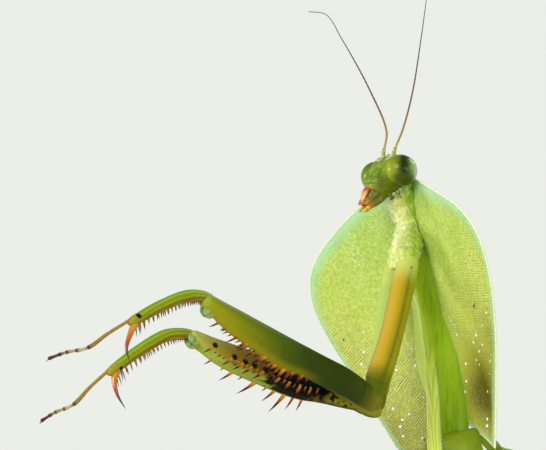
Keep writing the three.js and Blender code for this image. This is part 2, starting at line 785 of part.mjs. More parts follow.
for (const [name, sideSign] of bothSides) {
  const cercus = limb({
    path: bent(...cercusPoints.map(([l, left, above]) => body(l, left * sideSign, above))),
    side: vec(1, 0, 0),
    size: (t) => [mix(...cercusRadius, t), mix(...cercusRadius, t)],
    rings: 5,
    sides: 6,
  });
  add(mantis, "cercus_" + name, solid(cercus).subtract(abdomenCutter), colours.leaf);
}

// ---------------------------------------------------------------- wings
// Outlines from base to tip: distance along the body, inner edge (negative past the midline), outer edge.
const tegmenRows = [
  [0.7, 2.0, 2.8],
  [2, 1.4, 4.2],
  [5, 0.6, 7.0],
  [9, -1.2, 9.8],
  [14, -2.6, 12.2],
  [21, -3.0, 12.9],
  [29, -3.0, 11.8],
  [36, -2.4, 8.6],
  [40.5, -1.0, 5.0],
  [42, 0.8, 2.6],
];
const hindwingRows = [
  [9.2, 0.5, 3.6],
  [12, 0.4, 6.6],
  [18, 0.4, 8.2],
  [27, 0.4, 8.0],
  [34, 0.4, 5.6],
  [38.5, 0.9, 2.2],
];
// The roof that the folded wings follow: distance along, height at the ridge, place and height of its eaves.
const wingRoof = [
  [0.7, 2.05, 2.8, 0.7],
  [2, 2.3, 4.2, -0.2],
  [5, 2.55, 7.0, -0.6],
  [9, 2.6, 9.8, -0.3],
  [14, 2.5, 12.2, 0.6],
  [21, 2.5, 12.9, 0.9],
  [29, 2.35, 11.8, 1.1],
  [36, 2.1, 8.6, 1.3],
  [42, 1.9, 2.6, 1.7],
];
const ridgeWidth = 1.5;
const roofSag = 1.6; // how late the roof starts to fall away from its ridge
const layer = sheetThickness + gap;
function wingSurface(rows, sideSign, level) {
  return (along, across) => {
    const [l, inner, outer] = through(rows, along);
    const x = mix(inner, outer, across);
    const [ridge, eavesPlace, eaves] = table(wingRoof, l);
    const out = ramp(x, ridgeWidth, eavesPlace);
    return body(l, sideSign * x, ridge - (ridge - eaves) * out ** roofSag + level(x, l));
  };
}
function wing(name, rows, sideSign, level, nu, nv) {
  const surface = wingSurface(rows, sideSign, level);
  const up = normalOf(surface, normalOf(surface)(0.5, 0.5).z > 0 ? 1 : -1);
  const half = () => sheetThickness / 2;
  add(mantis, name, solid(sheet(surface, up, nu, nv, half, half)), colours.wing, 0.5);
}
// Behind their roots both forewings lie over the hindwings, and the left one over the right where they cross.
const overHindwing = (l) => layer * ramp(l, 5, 9);
const overRight = (x, l) => layer * ramp(x, 8, 4) * ramp(l, 3, 6);
wing("tegmen_left", tegmenRows, 1, (x, l) => overHindwing(l) + overRight(x, l), 12, 6);
wing("tegmen_right", tegmenRows, -1, (x, l) => overHindwing(l), 12, 6);
wing("hindwing_left", hindwingRows, 1, () => 0, 8, 4);
wing("hindwing_right", hindwingRows, -1, () => 0, 8, 4);

// ---------------------------------------------------------------- walking legs
// Joint positions: hip, coxa end, knee, ankle, toe. The soles are flat at floor level.
const walkingLegs = {
  mid: {
    joints: [
      [1.8, 2.4, 15.9],
      [3.5, 0.2, 12.3],
      [13.6, -5.6, 13.4],
      [17.2, -8.6, 1.1],
      [20.2, -13.4, 0.26],
    ],
    femur: [0.62, 0.32],
    coxa: 0.98,
    stagger: -1.6, // how much farther forward the right foot stands
  },
  hind: {
    joints: [
      [2.0, 5.4, 13.0],
      [4.0, 6.8, 9.2],
      [14.4, 17.6, 8.4],
      [21.0, 29.6, 1.1],
      [23.8, 36.6, 0.26],
    ],
    femur: [0.72, 0.32],
    coxa: 1.02,
    stagger: 1.8,
  },
};
const shinRadius = [0.33, 0.28];
const soleSize = [0.36, 0.34];
const floor = 0;

function walkingLeg(kind, name, sideSign) {
  const { joints, femur, coxa, stagger } = walkingLegs[kind];
  const shift = (i) => (sideSign < 0 ? (stagger * Math.max(i - 1, 0)) / 3 : 0);
  const [hip, coxaEnd, knee, ankle, toe] = joints.map(([x, y, z], i) =>
    vec(x * sideSign, y + shift(i), z),
  );
  const label = (part) => kind + "_" + part + "_" + name;
  const rod = (start, end, size, rings = 4, sides = 6) =>
    solid(limb({ path: straight(start, end), side: vec(0, 1, 0.3), size, rings, sides }));
  const beyond = (a, b, extra) => b.clone().addScaledVector(b.clone().sub(a).normalize(), extra);
  const atCoxa = miter(hip, coxaEnd, knee);
  const atKnee = miter(coxaEnd, knee, ankle);
  const atAnkle = miter(knee, ankle, toe);

  const hipSize = (t) => [mix(coxa, coxa * 0.68, t), mix(coxa, coxa * 0.68, t)];
  const hipPiece = rod(hip, beyond(hip, coxaEnd, 0.5), hipSize)
    .subtract(thoraxCutter)
    .subtract(abdomenCutter);
  add(mantis, label("coxa"), upTo(hipPiece, coxaEnd, atCoxa), colours.leaf);

  const thighSize = (t) => {
    const radius = mix(...femur, t ** 0.7) + 0.1 * t ** 12; // thickened at the knee
    return [radius * 0.9, radius];
  };
  const thigh = rod(beyond(knee, coxaEnd, 0.5), beyond(coxaEnd, knee, 0.3), thighSize, 8);
  add(mantis, label("femur"), upTo(from(thigh, coxaEnd, atCoxa), knee, atKnee), colours.leaf);

  const shinSize = (t) => [mix(...shinRadius, t), mix(...shinRadius, t)];
  const shin = rod(beyond(ankle, knee, 0.3), beyond(knee, ankle, 0.3), shinSize);
  add(mantis, label("tibia"), upTo(from(shin, knee, atKnee), ankle, atAnkle), colours.leaf);

  const level = (t) => vec(mix(ankle.x, toe.x, t), mix(ankle.y, toe.y, t), toe.z);
  const heel = level(0.2).add(vec(0, 0, 0.2));
  const footPath = bent(beyond(toe, ankle, 0.2), heel, level(0.45), level(0.75), toe);
  const foot = limb({ path: footPath, side: vec(0, 0, 1), size: () => soleSize, rings: 7, sides: 6 });
  const footSolid = keep(from(solid(foot), ankle, atAnkle), vec(0, 0, floor), vec(0, 0, 1));
  add(mantis, label("tarsus"), footSolid, colours.leaf);
}
for (const kind of Object.keys(walkingLegs)) {
  for (const [name, sideSign] of bothSides) walkingLeg(kind, name, sideSign);
}

// the origin is the middle of the bottom of the whole animal's box
mantis.updateMatrixWorld(true);
const box = new THREE.Box3().setFromObject(mantis, true);
mantis.position.set(-(box.min.x + box.max.x) / 2, -(box.min.y + box.max.y) / 2, -box.min.z);
const model = new THREE.Group();
model.add(mantis);

export default model;
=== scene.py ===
import math

import bpy
import numpy as np
from mathutils import Matrix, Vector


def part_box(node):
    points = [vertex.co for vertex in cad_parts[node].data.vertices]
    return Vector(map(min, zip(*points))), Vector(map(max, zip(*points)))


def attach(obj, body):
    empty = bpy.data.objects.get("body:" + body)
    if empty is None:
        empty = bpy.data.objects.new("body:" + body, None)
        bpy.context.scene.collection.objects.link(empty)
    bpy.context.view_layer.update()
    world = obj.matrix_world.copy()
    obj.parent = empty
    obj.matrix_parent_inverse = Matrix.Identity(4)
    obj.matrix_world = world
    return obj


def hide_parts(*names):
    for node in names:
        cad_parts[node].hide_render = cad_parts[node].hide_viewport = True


# A life-size shield mantis. Shapes are worked out in millimetres in the animal's own frames,
# then set into the loaded frame, in metres.
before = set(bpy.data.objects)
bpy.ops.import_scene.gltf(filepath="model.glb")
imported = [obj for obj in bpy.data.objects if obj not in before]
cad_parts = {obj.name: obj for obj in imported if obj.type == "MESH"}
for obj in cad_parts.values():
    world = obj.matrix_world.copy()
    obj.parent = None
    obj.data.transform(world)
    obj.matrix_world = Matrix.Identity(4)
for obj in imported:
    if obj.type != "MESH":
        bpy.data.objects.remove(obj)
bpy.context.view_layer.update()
print("frame loaded,", len(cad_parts), "nodes")


def vec(*numbers):  # the numbers as a vector
    return np.array(numbers, float)


def mix(low, high, share):  # low at a share of 0, high at 1, straight between
    return low + (high - low) * share


def rise(value, low, high):  # 0 before low, 1 after high, an eased step between
    share = np.clip((value - low) / (high - low), 0, 1)
    return share * share * (3 - 2 * share)


def hump(value, centre, width):  # a bell, 1 at its centre
    return np.exp(-(((value - centre) / width) ** 2))


def dome(share, least):  # a quarter circle: the root of least at 0, and 1 from 1 on
    return np.sqrt(np.clip(1 - (1 - np.minimum(share, 1)) ** 2, least, 1))


def unit(vectors):  # each vector divided by its length
    return vectors / np.maximum(np.linalg.norm(vectors, axis=-1, keepdims=True), 1e-12)


def distance(points, spot):  # from each point to a spot
    return np.linalg.norm(points - spot, axis=-1)


def columns(rows):  # one array for each of a row's numbers
    return np.moveaxis(rows, -1, 0)


def squared(value, power):  # a sine or cosine whose circle turns into a square as power goes from 1 to 0
    return np.sign(value) * np.abs(value) ** power


def ringAngles(count):  # evenly spaced round a full turn
    return np.arange(count) / count * 2 * np.pi


def crowded(share, strength):  # even shares drawn towards 0 and 1
    return mix(share, 0.5 - 0.5 * np.cos(np.pi * share), strength)


def spline(a, b, c, d, f):  # cubic from b to c whose slopes there are (c - a) / 2 and (d - b) / 2
    return 0.5 * (2 * b + (c - a) * f + (2 * a - 5 * b + 4 * c - d) * f**2 + (3 * b - a - 3 * c + d) * f**3)


def through(rows, share):  # evenly spaced Catmull-Rom curve through rows of numbers, share from 0 to 1
    rows = np.asarray(rows, float)
    last = len(rows) - 1
    at = np.clip(share, 0, 1) * last
    i = np.minimum(np.floor(at).astype(int), last - 1)
    f = (at - i)[..., None]
    return spline(*(rows[np.clip(i + k, 0, last)] for k in (-1, 0, 1, 2)), f)


def table(rows, place):  # the same, where the first number of each row is its place
    rows = np.asarray(rows, float)
    i = np.clip(np.searchsorted(rows[:, 0], place, side="right") - 1, 0, len(rows) - 2)
    f = np.clip((place - rows[i, 0]) / (rows[i + 1, 0] - rows[i, 0]), 0, 1)
    return through(rows[:, 1:], (i + f) / (len(rows) - 1))


def bent(points, share):  # centripetal Catmull-Rom curve through points
    p = np.asarray(points, float)
    p = np.vstack([2 * p[0] - p[1], p, 2 * p[-1] - p[-2]])
    step = np.maximum(np.sqrt(np.linalg.norm(np.diff(p, axis=0), axis=1)), 1e-4)
    at = np.clip(share, 0, 1) * (len(p) - 3)
    i = np.minimum(np.floor(at).astype(int), len(p) - 4)
    f = (at - i)[..., None]
    a, b, c, d = (p[i + k] for k in range(4))
    s, t, u = (step[i + k][..., None] for k in range(3))
    m = t * ((b - a) / s - (c - a) / (s + t) + (c - b) / t)
    n = t * ((c - b) / t - (d - b) / (t + u) + (d - c) / u)
    return b + m * f + (3 * (c - b) - 2 * m - n) * f**2 + (2 * (b - c) + m + n) * f**3


def grain(points, size, seed, waves=7):  # soft lumps: a sum of sine waves in random directions
    pick = np.random.default_rng(seed)
    ways = unit(pick.normal(size=(waves, 3))) * (2 * math.pi / size) * pick.uniform(0.7, 1.4, (waves, 1))
    return np.sin(points @ ways.T + pick.uniform(0, 2 * math.pi, waves)).sum(-1) / math.sqrt(waves)


def turnMatrix(axis, degrees):  # the matrix that turns a point round an axis
    c, s = math.cos(math.radians(degrees)), math.sin(math.radians(degrees))
    if axis == "x":
        return np.array([[1, 0, 0], [0, c, -s], [0, s, c]])
    if axis == "y":
        return np.array([[c, 0, s], [0, 1, 0], [-s, 0, c]])
    return np.array([[c, -s, 0], [s, c, 0], [0, 0, 1]])


# The upright fore body: x to its left, y to its back, z towards the head, from the shield's front point.
prothorax = {"joint": vec(0, 0, 19), "length": 25.5, "jointDepth": 0.3, "lean": 14.1, "tilt": 3.1}
head = {"centre": (0.85, 0.77, 4.33), "turn": (-35.9, 10.65, -11.9)}
eye = {"centre": vec(2.2, 0, 0.95), "radii": vec(1.35, 1.42, 1.32), "fuller": 1.06,
       "drop": vec(-0.08, 0, -0.12), "rightDrop": vec(-0.06, 0.05, -0.24)}


def fore(left, rear, belly):  # distances from the shield's front point, as a point of the fore body
    back, ahead = -np.asarray(belly, float), -np.asarray(rear, float)
    return np.stack(np.broadcast_arrays(left, back, ahead), -1) * 1.0


foreTurn = turnMatrix("y", -prothorax["lean"]) @ turnMatrix("x", -prothorax["tilt"])
foreOrigin = prothorax["joint"] - foreTurn @ fore(0, prothorax["length"], prothorax["jointDepth"])
headTurn = (turnMatrix("z", head["turn"][2]) @ turnMatrix("y", head["turn"][1])
            @ turnMatrix("x", head["turn"][0]))


def fromFore(points):  # from the fore body into the model: turned, then moved
    return points @ foreTurn.T + foreOrigin


def fromHead(points):  # the same from the head, by way of the fore body
    return fromFore(points @ headTurn.T + fore(*head["centre"]))


def fromBody(points):  # the hind body's frame is the model's own
    return points


eyeBox = np.array([list(corner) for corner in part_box("eye_left")])
shift = eyeBox.mean(0) * 1000 - fromHead(eye["centre"])  # from these frames to the loaded one
bothSides = (("Left", 1), ("Right", -1))
print("shift in mm", np.round(shift, 3))


class Sculpture:
    # gathers closed grids of points into one mesh, each point with the marks its materials read
    def __init__(self, placing):
        self.placing, self.parts, self.count = placing, [], 0

    @property
    def points(self):  # of the part added last
        return self.parts[-1][0]

    @property
    def marks(self):  # of the part added last
        return self.parts[-1][4]

    def add(self, points, quads, triangles=None, material=0, **marks):
        # places a closed surface and turns its faces out where the volume they enclose comes out negative
        points = self.placing(np.asarray(points, float).reshape(-1, 3))
        quads = np.asarray(quads, int).reshape(-1, 4)
        triangles = np.asarray([] if triangles is None else triangles, int).reshape(-1, 3)
        fans = np.vstack([quads[:, [0, 1, 2]], quads[:, [0, 2, 3]], triangles])
        a, b, c = (points[fans[:, k]] for k in range(3))
        if np.einsum("ij,ij->i", a, np.cross(b, c)).sum() < 0:
            quads, triangles = quads[:, ::-1], triangles[:, ::-1]
        self.parts.append((points, quads + self.count, triangles + self.count, material, marks))
        self.count += len(points)

    def finish(self, name, materials, slot, *nodes):  # one mesh of all the parts, in metres; slot is not used
        points = (np.vstack([p[0] for p in self.parts]) + shift) * 0.001
        quads = np.vstack([p[1] for p in self.parts])
        triangles = np.vstack([p[2] for p in self.parts])
        mesh = bpy.data.meshes.new(name)
        mesh.vertices.add(len(points))
        mesh.vertices.foreach_set("co", points.ravel())
        corners = np.concatenate([quads.ravel(), triangles.ravel()])
        starts = np.concatenate([np.arange(len(quads)) * 4, 4 * len(quads) + np.arange(len(triangles)) * 3])
        mesh.loops.add(len(corners))
        mesh.loops.foreach_set("vertex_index", corners)
        mesh.polygons.add(len(starts))
        mesh.polygons.foreach_set("loop_start", starts)
        which = [np.full(len(p[k]), p[3]) for k in (1, 2) for p in self.parts]
        mesh.polygons.foreach_set("material_index", np.concatenate(which))
        mesh.update(calc_edges=True)
        mesh.validate()
        mesh.shade_smooth()
        for mark in sorted({m for p in self.parts for m in p[4]}):
            values = [np.broadcast_to(p[4].get(mark, 0.0), len(p[0])) for p in self.parts]
            layer = mesh.attributes.new(mark, "FLOAT", "POINT")
            layer.data.foreach_set("value", np.concatenate(values).astype(np.float32))
        for material in materials:
            mesh.materials.append(material)
        piece = bpy.data.objects.new(name, mesh)
        bpy.context.scene.collection.objects.link(piece)
        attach(piece, "root")
        if nodes:
            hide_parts(*nodes)
        print(f"{name}: {len(quads) * 2 + len(triangles)} triangles")


def ringFaces(rings, sides):  # quads between rings and a fan to a pole at each end
    i, j = np.meshgrid(np.arange(rings - 1), np.arange(sides), indexing="ij")
    k = (j + 1) % sides
    quads = [i * sides + j, i * sides + k, (i + 1) * sides + k, (i + 1) * sides + j]
    quads = np.stack(quads, -1).reshape(-1, 4)
    j = np.arange(sides)
    k = (j + 1) % sides
    low, high = rings * sides, rings * sides + 1
    first = np.stack([k, j, np.full(sides, low)], -1)
    last = np.stack([(rings - 1) * sides + j, (rings - 1) * sides + k, np.full(sides, high)], -1)
    return quads, np.vstack([first, last])


def closeRings(rings):  # the points of a stack of rings, with a pole at the middle of each end
    return np.vstack([rings.reshape(-1, 3), rings[0].mean(0), rings[-1].mean(0)])


def closeMark(values):  # the same for a mark: each pole gets the mean of its end
    return np.concatenate([values.ravel(), [values[0].mean(), values[-1].mean()]])


def ringSkin(sculpture, points, material=0, **marks):  # the closed skin through a stack of rings
    shape = points.shape[:2]
    closed = {name: closeMark(np.broadcast_to(values, shape)) for name, values in marks.items()}
    sculpture.add(closeRings(points), *ringFaces(*shape), material, **closed)


def limb(sculpture, line, side, size, rings=60, sides=28, square=1.0, blunt=(0.03, 0.03), swell=None,
         material=0):
    # Ovals carried along a curve, given as its points or as a function of t from 0 to 1. size(t) is their
    # half width along side and half depth, square bends the oval towards a rectangle, blunt is the share of
    # the length over which each end rounds off, and swell(t, angle) moves the skin out.
    path = line if callable(line) else lambda t: bent(line, t)
    t = crowded(np.linspace(0, 1, rings), 0.65)
    centres = path(t)
    tangents = unit(path(np.minimum(t + 1e-3, 1)) - path(np.maximum(t - 1e-3, 0)))
    across = unit(side - (tangents @ side)[:, None] * tangents)
    deep = np.cross(tangents, across)
    width, depth = size(t)
    ends = dome(t / blunt[0], 2e-3) * dome((1 - t) / blunt[1], 2e-3)
    angle = ringAngles(sides)
    c, v = squared(np.cos(angle), square), squared(np.sin(angle), square)
    more = swell(t[:, None], angle[None, :]) if swell else 0.0
    points = (centres[:, None]
              + across[:, None] * (((width * ends)[:, None] + more * ends[:, None]) * c)[..., None]
              + deep[:, None] * (((depth * ends)[:, None] + more * ends[:, None]) * v)[..., None])
    ringSkin(sculpture, points, material, along=t[:, None], across=c, under=v)


def spikes(sculpture, roots, tips, radii, hook=0.0, bend=None, material=1, rings=8, sides=8):
    # Many pointed spines at once: tapering rings from roots to tips, bowed by hook towards bend.
    roots, tips = np.atleast_2d(roots), np.atleast_2d(tips)
    many = len(roots)
    axis = unit(tips - roots)
    bend = unit(np.broadcast_to(vec(0.31, 0.87, 0.39) if bend is None else bend, axis.shape))
    a = unit(bend - (bend * axis).sum(-1, keepdims=True) * axis)
    b = np.cross(axis, a)
    t = np.linspace(0, 1, rings)
    radius = (1 - t) ** 0.8 * (1 - 0.25 * t) + 0.02
    bow = hook * np.linalg.norm(tips - roots, axis=-1)[:, None] * (t - t**2)
    centres = mix(roots[:, None], tips[:, None], t[None, :, None]) - a[:, None] * bow[..., None]
    angle = ringAngles(sides)
    thick = (np.broadcast_to(radii, many)[:, None] * radius)[..., None, None]
    turned = (a[:, None, None] * np.cos(angle)[:, None] + b[:, None, None] * np.sin(angle)[:, None])
    points = centres[:, :, None] + turned * thick
    each = rings * sides + 2
    quads, triangles = ringFaces(rings, sides)
    closed = np.concatenate([points.reshape(many, -1, 3), points[:, :1].mean(2), points[:, -1:].mean(2)], 1)
    steps = (np.arange(many) * each)[:, None, None]
    along = np.concatenate([np.repeat(t, sides), [0, 1]])
    sculpture.add(closed, quads + steps, triangles + steps, material, tip=np.tile(along, many))


def beads(sculpture, centres, radii, material=0, rings=7, sides=10, **marks):
    # Many small balls at once: one ball scaled by each radius and moved to each centre.
    centres = np.atleast_2d(centres)
    many = len(centres)
    polar = np.linspace(0.12, np.pi - 0.12, rings)
    angle = ringAngles(sides)
    ball = np.stack(np.broadcast_arrays(np.sin(polar)[:, None] * np.cos(angle),
                                        np.sin(polar)[:, None] * np.sin(angle), np.cos(polar)[:, None]), -1)
    ball = closeRings(ball)
    radii = np.asarray(radii, float)
    radii = radii.reshape(-1, 1, radii.shape[-1]) if radii.ndim == 2 else radii.reshape(-1, 1, 1)
    quads, triangles = ringFaces(rings, sides)
    steps = (np.arange(many) * len(ball))[:, None, None]
    sculpture.add(centres[:, None] + ball * radii, quads + steps, triangles + steps, material, **marks)


def leaf(sculpture, middle, normal, above, below, material=0, **marks):
    # A thin plate: a grid of middle points, pushed above and below along its normals. Both skins share the
    # points of the rim, so that the edge is closed.
    nu, nv = middle.shape[:2]
    top = middle + normal * above[..., None]
    bottom = middle - normal * below[..., None]
    edge = np.zeros((nu, nv), bool)
    edge[[0, -1], :] = edge[:, [0, -1]] = True
    top[edge] = middle[edge]
    upper = np.arange(nu * nv).reshape(nu, nv)
    lower = upper.copy()
    lower[~edge] = nu * nv + np.arange((~edge).sum())

    def cells(grid):
        return np.stack([grid[:-1, :-1], grid[1:, :-1], grid[1:, 1:], grid[:-1, 1:]], -1).reshape(-1, 4)

    points = np.vstack([top.reshape(-1, 3), bottom[~edge]])
    both = {name: np.concatenate([values.ravel(), values[~edge]]) for name, values in marks.items()}
    sculpture.add(points, np.vstack([cells(upper), cells(lower)[:, ::-1]]), None, material, **both)


def gridNormals(points, spot, axis):
    # cross products of a grid's slopes at length 1, turned so that the one at spot points along axis
    normal = unit(np.cross(np.gradient(points, axis=0), np.gradient(points, axis=1)))
    return normal * np.sign(normal[(*spot, axis)])


def rimDistance(points):  # from each point of a grid to the nearest point of the grid's edge
    edge = np.concatenate([points[0], points[-1], points[:, 0], points[:, -1]])
    near = [np.linalg.norm(part[:, None] - edge, axis=-1).min(1)
            for part in np.array_split(points.reshape(-1, 3), 80)]
    return np.concatenate(near).reshape(points.shape[:2])


# Camera, light and ground

# degrees round the animal and upwards, distance and lens in millimetres, and the aim in millimetres
# to the right of the shield's front point and above it
look = {"azimuth": 47, "elevation": -2, "distance": 900, "lens": 643.9, "aim": (-12.81, -4.33)}
side, lift = math.radians(look["azimuth"]), math.radians(look["elevation"])
viewRight = vec(math.cos(side), math.sin(side), 0)
viewBack = vec(math.sin(side) * math.cos(lift), -math.cos(side) * math.cos(lift), math.sin(lift))
viewUp = np.cross(viewBack, viewRight)
target = (fromFore(np.zeros(3)) + shift + look["aim"][0] * viewRight + look["aim"][1] * viewUp) * 0.001
camera = bpy.data.objects.new("camera", bpy.data.cameras.new("camera"))
camera.data.sensor_fit, camera.data.sensor_width = "HORIZONTAL", 36
camera.data.lens, camera.data.clip_start, camera.data.clip_end = look["lens"], 0.01, 20
camera.location = target + viewBack * look["distance"] * 0.001
camera.rotation_euler = (math.pi / 2 - lift, 0, side)
bpy.context.scene.collection.objects.link(camera)
bpy.context.scene.camera = camera
bpy.context.scene.view_settings.view_transform = "Standard"

# direction from the animal to the right, to the camera and up; distance and size in metres; power in W
lamps = {
    "key": {"way": (-0.65, 0.9, 0.5), "distance": 0.5, "size": 0.3, "power": 1.7},
    "left": {"way": (-1.0, -0.1, 0.05), "distance": 0.5, "size": 0.15, "power": 0.7},
    "fill": {"way": (0.7, 1.0, 0.1), "distance": 0.6, "size": 0.4, "power": 1.15},
    "rim": {"way": (0.8, -0.7, 0.7), "distance": 0.5, "size": 0.2, "power": 0.6},
}
for lampName, lamp in lamps.items():
    way = unit(viewRight * lamp["way"][0] + viewBack * lamp["way"][1] + viewUp * lamp["way"][2])
    light = bpy.data.lights.new(lampName, "AREA")
    light.shape, light.size, light.energy = "DISK", lamp["size"], lamp["power"]
    holder = bpy.data.objects.new(lampName, light)
    holder.location = target + way * lamp["distance"]
    acrossWay = unit(np.cross(viewUp, way))
    axes = np.stack([acrossWay, np.cross(way, acrossWay), way], 1)
    holder.rotation_euler = Matrix(axes.tolist()).to_euler()
    bpy.context.scene.collection.objects.link(holder)


class Wire:
    # one socket of a material's nodes; arithmetic on wires adds Math nodes
    def __init__(self, tree, socket=None):
        self.tree, self.socket = tree, socket

    def node(self, kind, settings=None, inputs=None, output=0):  # any node, as a wire from an output
        made = self.tree.nodes.new(kind)
        for name, value in (settings or {}).items():
            if name == "stops":
                stops = made.color_ramp.elements
                stops.remove(stops[1])
                for index, (position, colour) in enumerate(value):
                    stop = stops.new(position) if index else stops[0]
                    stop.position, stop.color = position, tint(colour)
            else:
                setattr(made, name, value)
        for key, value in (inputs or {}).items():
            if isinstance(value, Wire):
                self.tree.links.new(value.socket, made.inputs[key])
            else:
                made.inputs[key].default_value = tint(value) if isinstance(value, str) else value
        return Wire(self.tree, made.outputs[output] if len(made.outputs) else None)

    def maths(self, operation, *values):
        return self.node("ShaderNodeMath", {"operation": operation}, dict(enumerate(values)))

    def __add__(self, other):
        return self.maths("ADD", self, other)

    __radd__ = __add__

    def __sub__(self, other):
        return self.maths("SUBTRACT", self, other)

    def __rsub__(self, other):
        return self.maths("SUBTRACT", other, self)

    def __mul__(self, other):
        return self.maths("MULTIPLY", self, other)

    __rmul__ = __mul__

    def __abs__(self):
        return self.maths("ABSOLUTE", self)

    def wave(self):  # the sine, from -1 to 1
        return self.maths("SINE", self)

    def step(self, low, high):  # eased from 0 at low to 1 at high
        return self.node("ShaderNodeMapRange", {"interpolation_type": "SMOOTHSTEP"},
                         {0: self, 1: low, 2: high})

    def between(self, low, high):  # a colour from low to high as this goes from 0 to 1
        return self.node("ShaderNodeMix", {"data_type": "RGBA"}, {0: self, 6: low, 7: high}, 2)

    def ramp(self, *stops):  # a colour for each of several values
        return self.node("ShaderNodeValToRGB", {"stops": stops}, {0: self})

    def mark(self, name):  # a value that the mesh carries at its points
        return self.node("ShaderNodeAttribute", {"attribute_name": name}, output=2)

    def stretched(self, x, y, z):  # a place with each of its three numbers scaled
        return self.node("ShaderNodeVectorMath", {"operation": "MULTIPLY"}, {0: self, 1: (x, y, z)})

    def noise(self, size, detail=2.0, wander=0.0):  # soft spots of a size in millimetres
        return self.node("ShaderNodeTexNoise", None,
                         {"Vector": self, "Scale": 1 / size, "Detail": detail, "Distortion": wander})

    def cells(self, size, feature="F1", settled=1.0):  # how far the nearest of scattered points is
        return self.node("ShaderNodeTexVoronoi", {"feature": feature},
                         {"Vector": self, "Scale": 1 / size, "Randomness": settled})


def tint(code):  # "#rrggbb" as the linear numbers that a socket takes
    parts = [int(code[k:k + 2], 16) / 255 for k in (1, 3, 5)]
    return tuple(p / 12.92 if p <= 0.04045 else ((p + 0.055) / 1.055) ** 2.4 for p in parts) + (1.0,)


def material(name, paint, **constants):
    # paint(wire, place) gives the linked sockets; "height" is a relief and, like place, in millimetres
    made = bpy.data.materials.new(name)
    made.use_nodes = True
    made.node_tree.nodes.clear()
    wire = Wire(made.node_tree)
    metres = wire.node("ShaderNodeTexCoord", output=3)
    place = metres.node("ShaderNodeVectorMath", {"operation": "SCALE"}, {0: metres, "Scale": 1000.0})
    sockets = {key.replace("_", " "): value for key, value in constants.items()}
    sockets.update(paint(wire, place))
    height = sockets.pop("height", None)
    if height is not None:
        sockets["Normal"] = wire.node("ShaderNodeBump", None, {"Distance": 0.001, "Height": height})
    shader = wire.node("ShaderNodeBsdfPrincipled", None, sockets)
    wire.node("ShaderNodeOutputMaterial", None, {"Surface": shader})
    return made


def layered(colour, *coats):  # each coat is a share and a colour, laid over what lies there
    for share, coat in coats:
        colour = share.between(colour, coat)
    return colour


def groundPaint(_, place):  # pale grey with faint clouds
    return {"Base Color": place.noise(60, 3).between("#e4e5e0", "#e9eae5"),
            "height": place.noise(0.8, 3) * 0.02}


ground = {"half": 4.0, "level": -0.00002}
groundMesh = bpy.data.meshes.new("floor")
groundMesh.from_pydata([(x * ground["half"], y * ground["half"], ground["level"])
                        for x, y in ((-1, -1), (1, -1), (1, 1), (-1, 1))], [], [(0, 1, 2, 3)])
groundMesh.materials.append(material("pale floor", groundPaint, Roughness=0.85))
floor = bpy.data.objects.new("floor", groundMesh)
bpy.context.scene.collection.objects.link(floor)

sky = {"shown": tint("#eceee8"), "light": (1.0, 1.0, 1.0, 1.0), "strength": 0.42}
world = bpy.data.worlds.new("pale room")
world.use_nodes = True
world.node_tree.nodes.clear()
air = Wire(world.node_tree)
rays = [air.node("ShaderNodeLightPath", output=name) for name in ("Is Camera Ray", "Is Transmission Ray")]
seen = rays[0].maths("MAXIMUM", rays[0], rays[1])
glow = air.node("ShaderNodeBackground", None, {"Color": seen.between(sky["light"], sky["shown"]),
                                               "Strength": seen * (1 - sky["strength"]) + sky["strength"]})
air.node("ShaderNodeOutputWorld", None, {"Surface": glow})
bpy.context.scene.world = world
print("camera, lamps and floor made")

# Pronotal shield

shield = {
    # half outline from the front point round the shoulder to the rear: sideways, rearward, to the belly
    "rim": [[2.75, 0.95, 2.5], [6.9, 3.5, 3.95], [10.15, 6.1, 4.4], [11.45, 9.1, 3.8],
            [10.95, 13.1, 2.55], [9.2, 17.9, 1.15], [7.1, 23.3, 0.13], [5.3, 27.2, -0.7]],
    "middle": [[2.6, 1.6], [8.5, 0.2], [15, -0.35], [20, -1.1], [23, -1.3]],  # rearward, towards the belly
    "arch": 1.2, "marginBow": (-0.6, -0.45), "farBow": -0.15,
    "halfThickness": 0.13, "rimBead": 0.09, "keel": 0.75, "keelWidth": 0.1,
    "grid": (170, 230),
    # direction of the ripples on the right and left half, as shares of left and rearward
    "ripples": ((0.541, 0.841), (-0.27, 0.963)),
}
shieldSpots = {  # middle to the left and rearward, and the spread in the same two directions
    "olive": (4.8, 21.7, 2.3, 2.7), "ochre": (4.5, 20.5, 3.5, 4.2), "blot": (7.15, 14.25, 0.24, 0.13),
    # the two sheen spots place painted highlights: white glints
    "frontPaintedGlint": (-3.1, 3.5, 1.1, 0.7), "sidePaintedGlint": (-5.9, 6.4, 0.7, 1.9),
}


def shieldPoint(along, across):
    # A leaf between the middle line and the rim; across runs from -1 at the right rim to 1 at the left.
    b = np.abs(across)
    rim, mid = through(shield["rim"], along), through(shield["middle"], along)
    front = np.where(across < 0, shield["farBow"], shield["marginBow"][0])
    bow = mix(front, shield["marginBow"][1], along) * 4 * b * (1 - b) * (2 * along - 1) ** 2
    rear = mix(mid[..., 0], rim[..., 1], b) + bow * np.sign(along - 0.5)
    return fore(rim[..., 0] * across, rear, mix(mid[..., 1], rim[..., 2], b ** shield["arch"]))


def shieldBelly(left, rear):  # height of the shield at a place, found by halving the range of along
    low, high = np.zeros(left.shape), np.ones(left.shape)
    for _ in range(18):
        along = (low + high) / 2
        across = np.clip(np.abs(left) / through(shield["rim"], along)[..., 0], 0, 1)
        spot = shieldPoint(along, across)
        ahead = -spot[..., 2] < rear
        low, high = np.where(ahead, along, low), np.where(ahead, high, along)
    return -spot[..., 1]


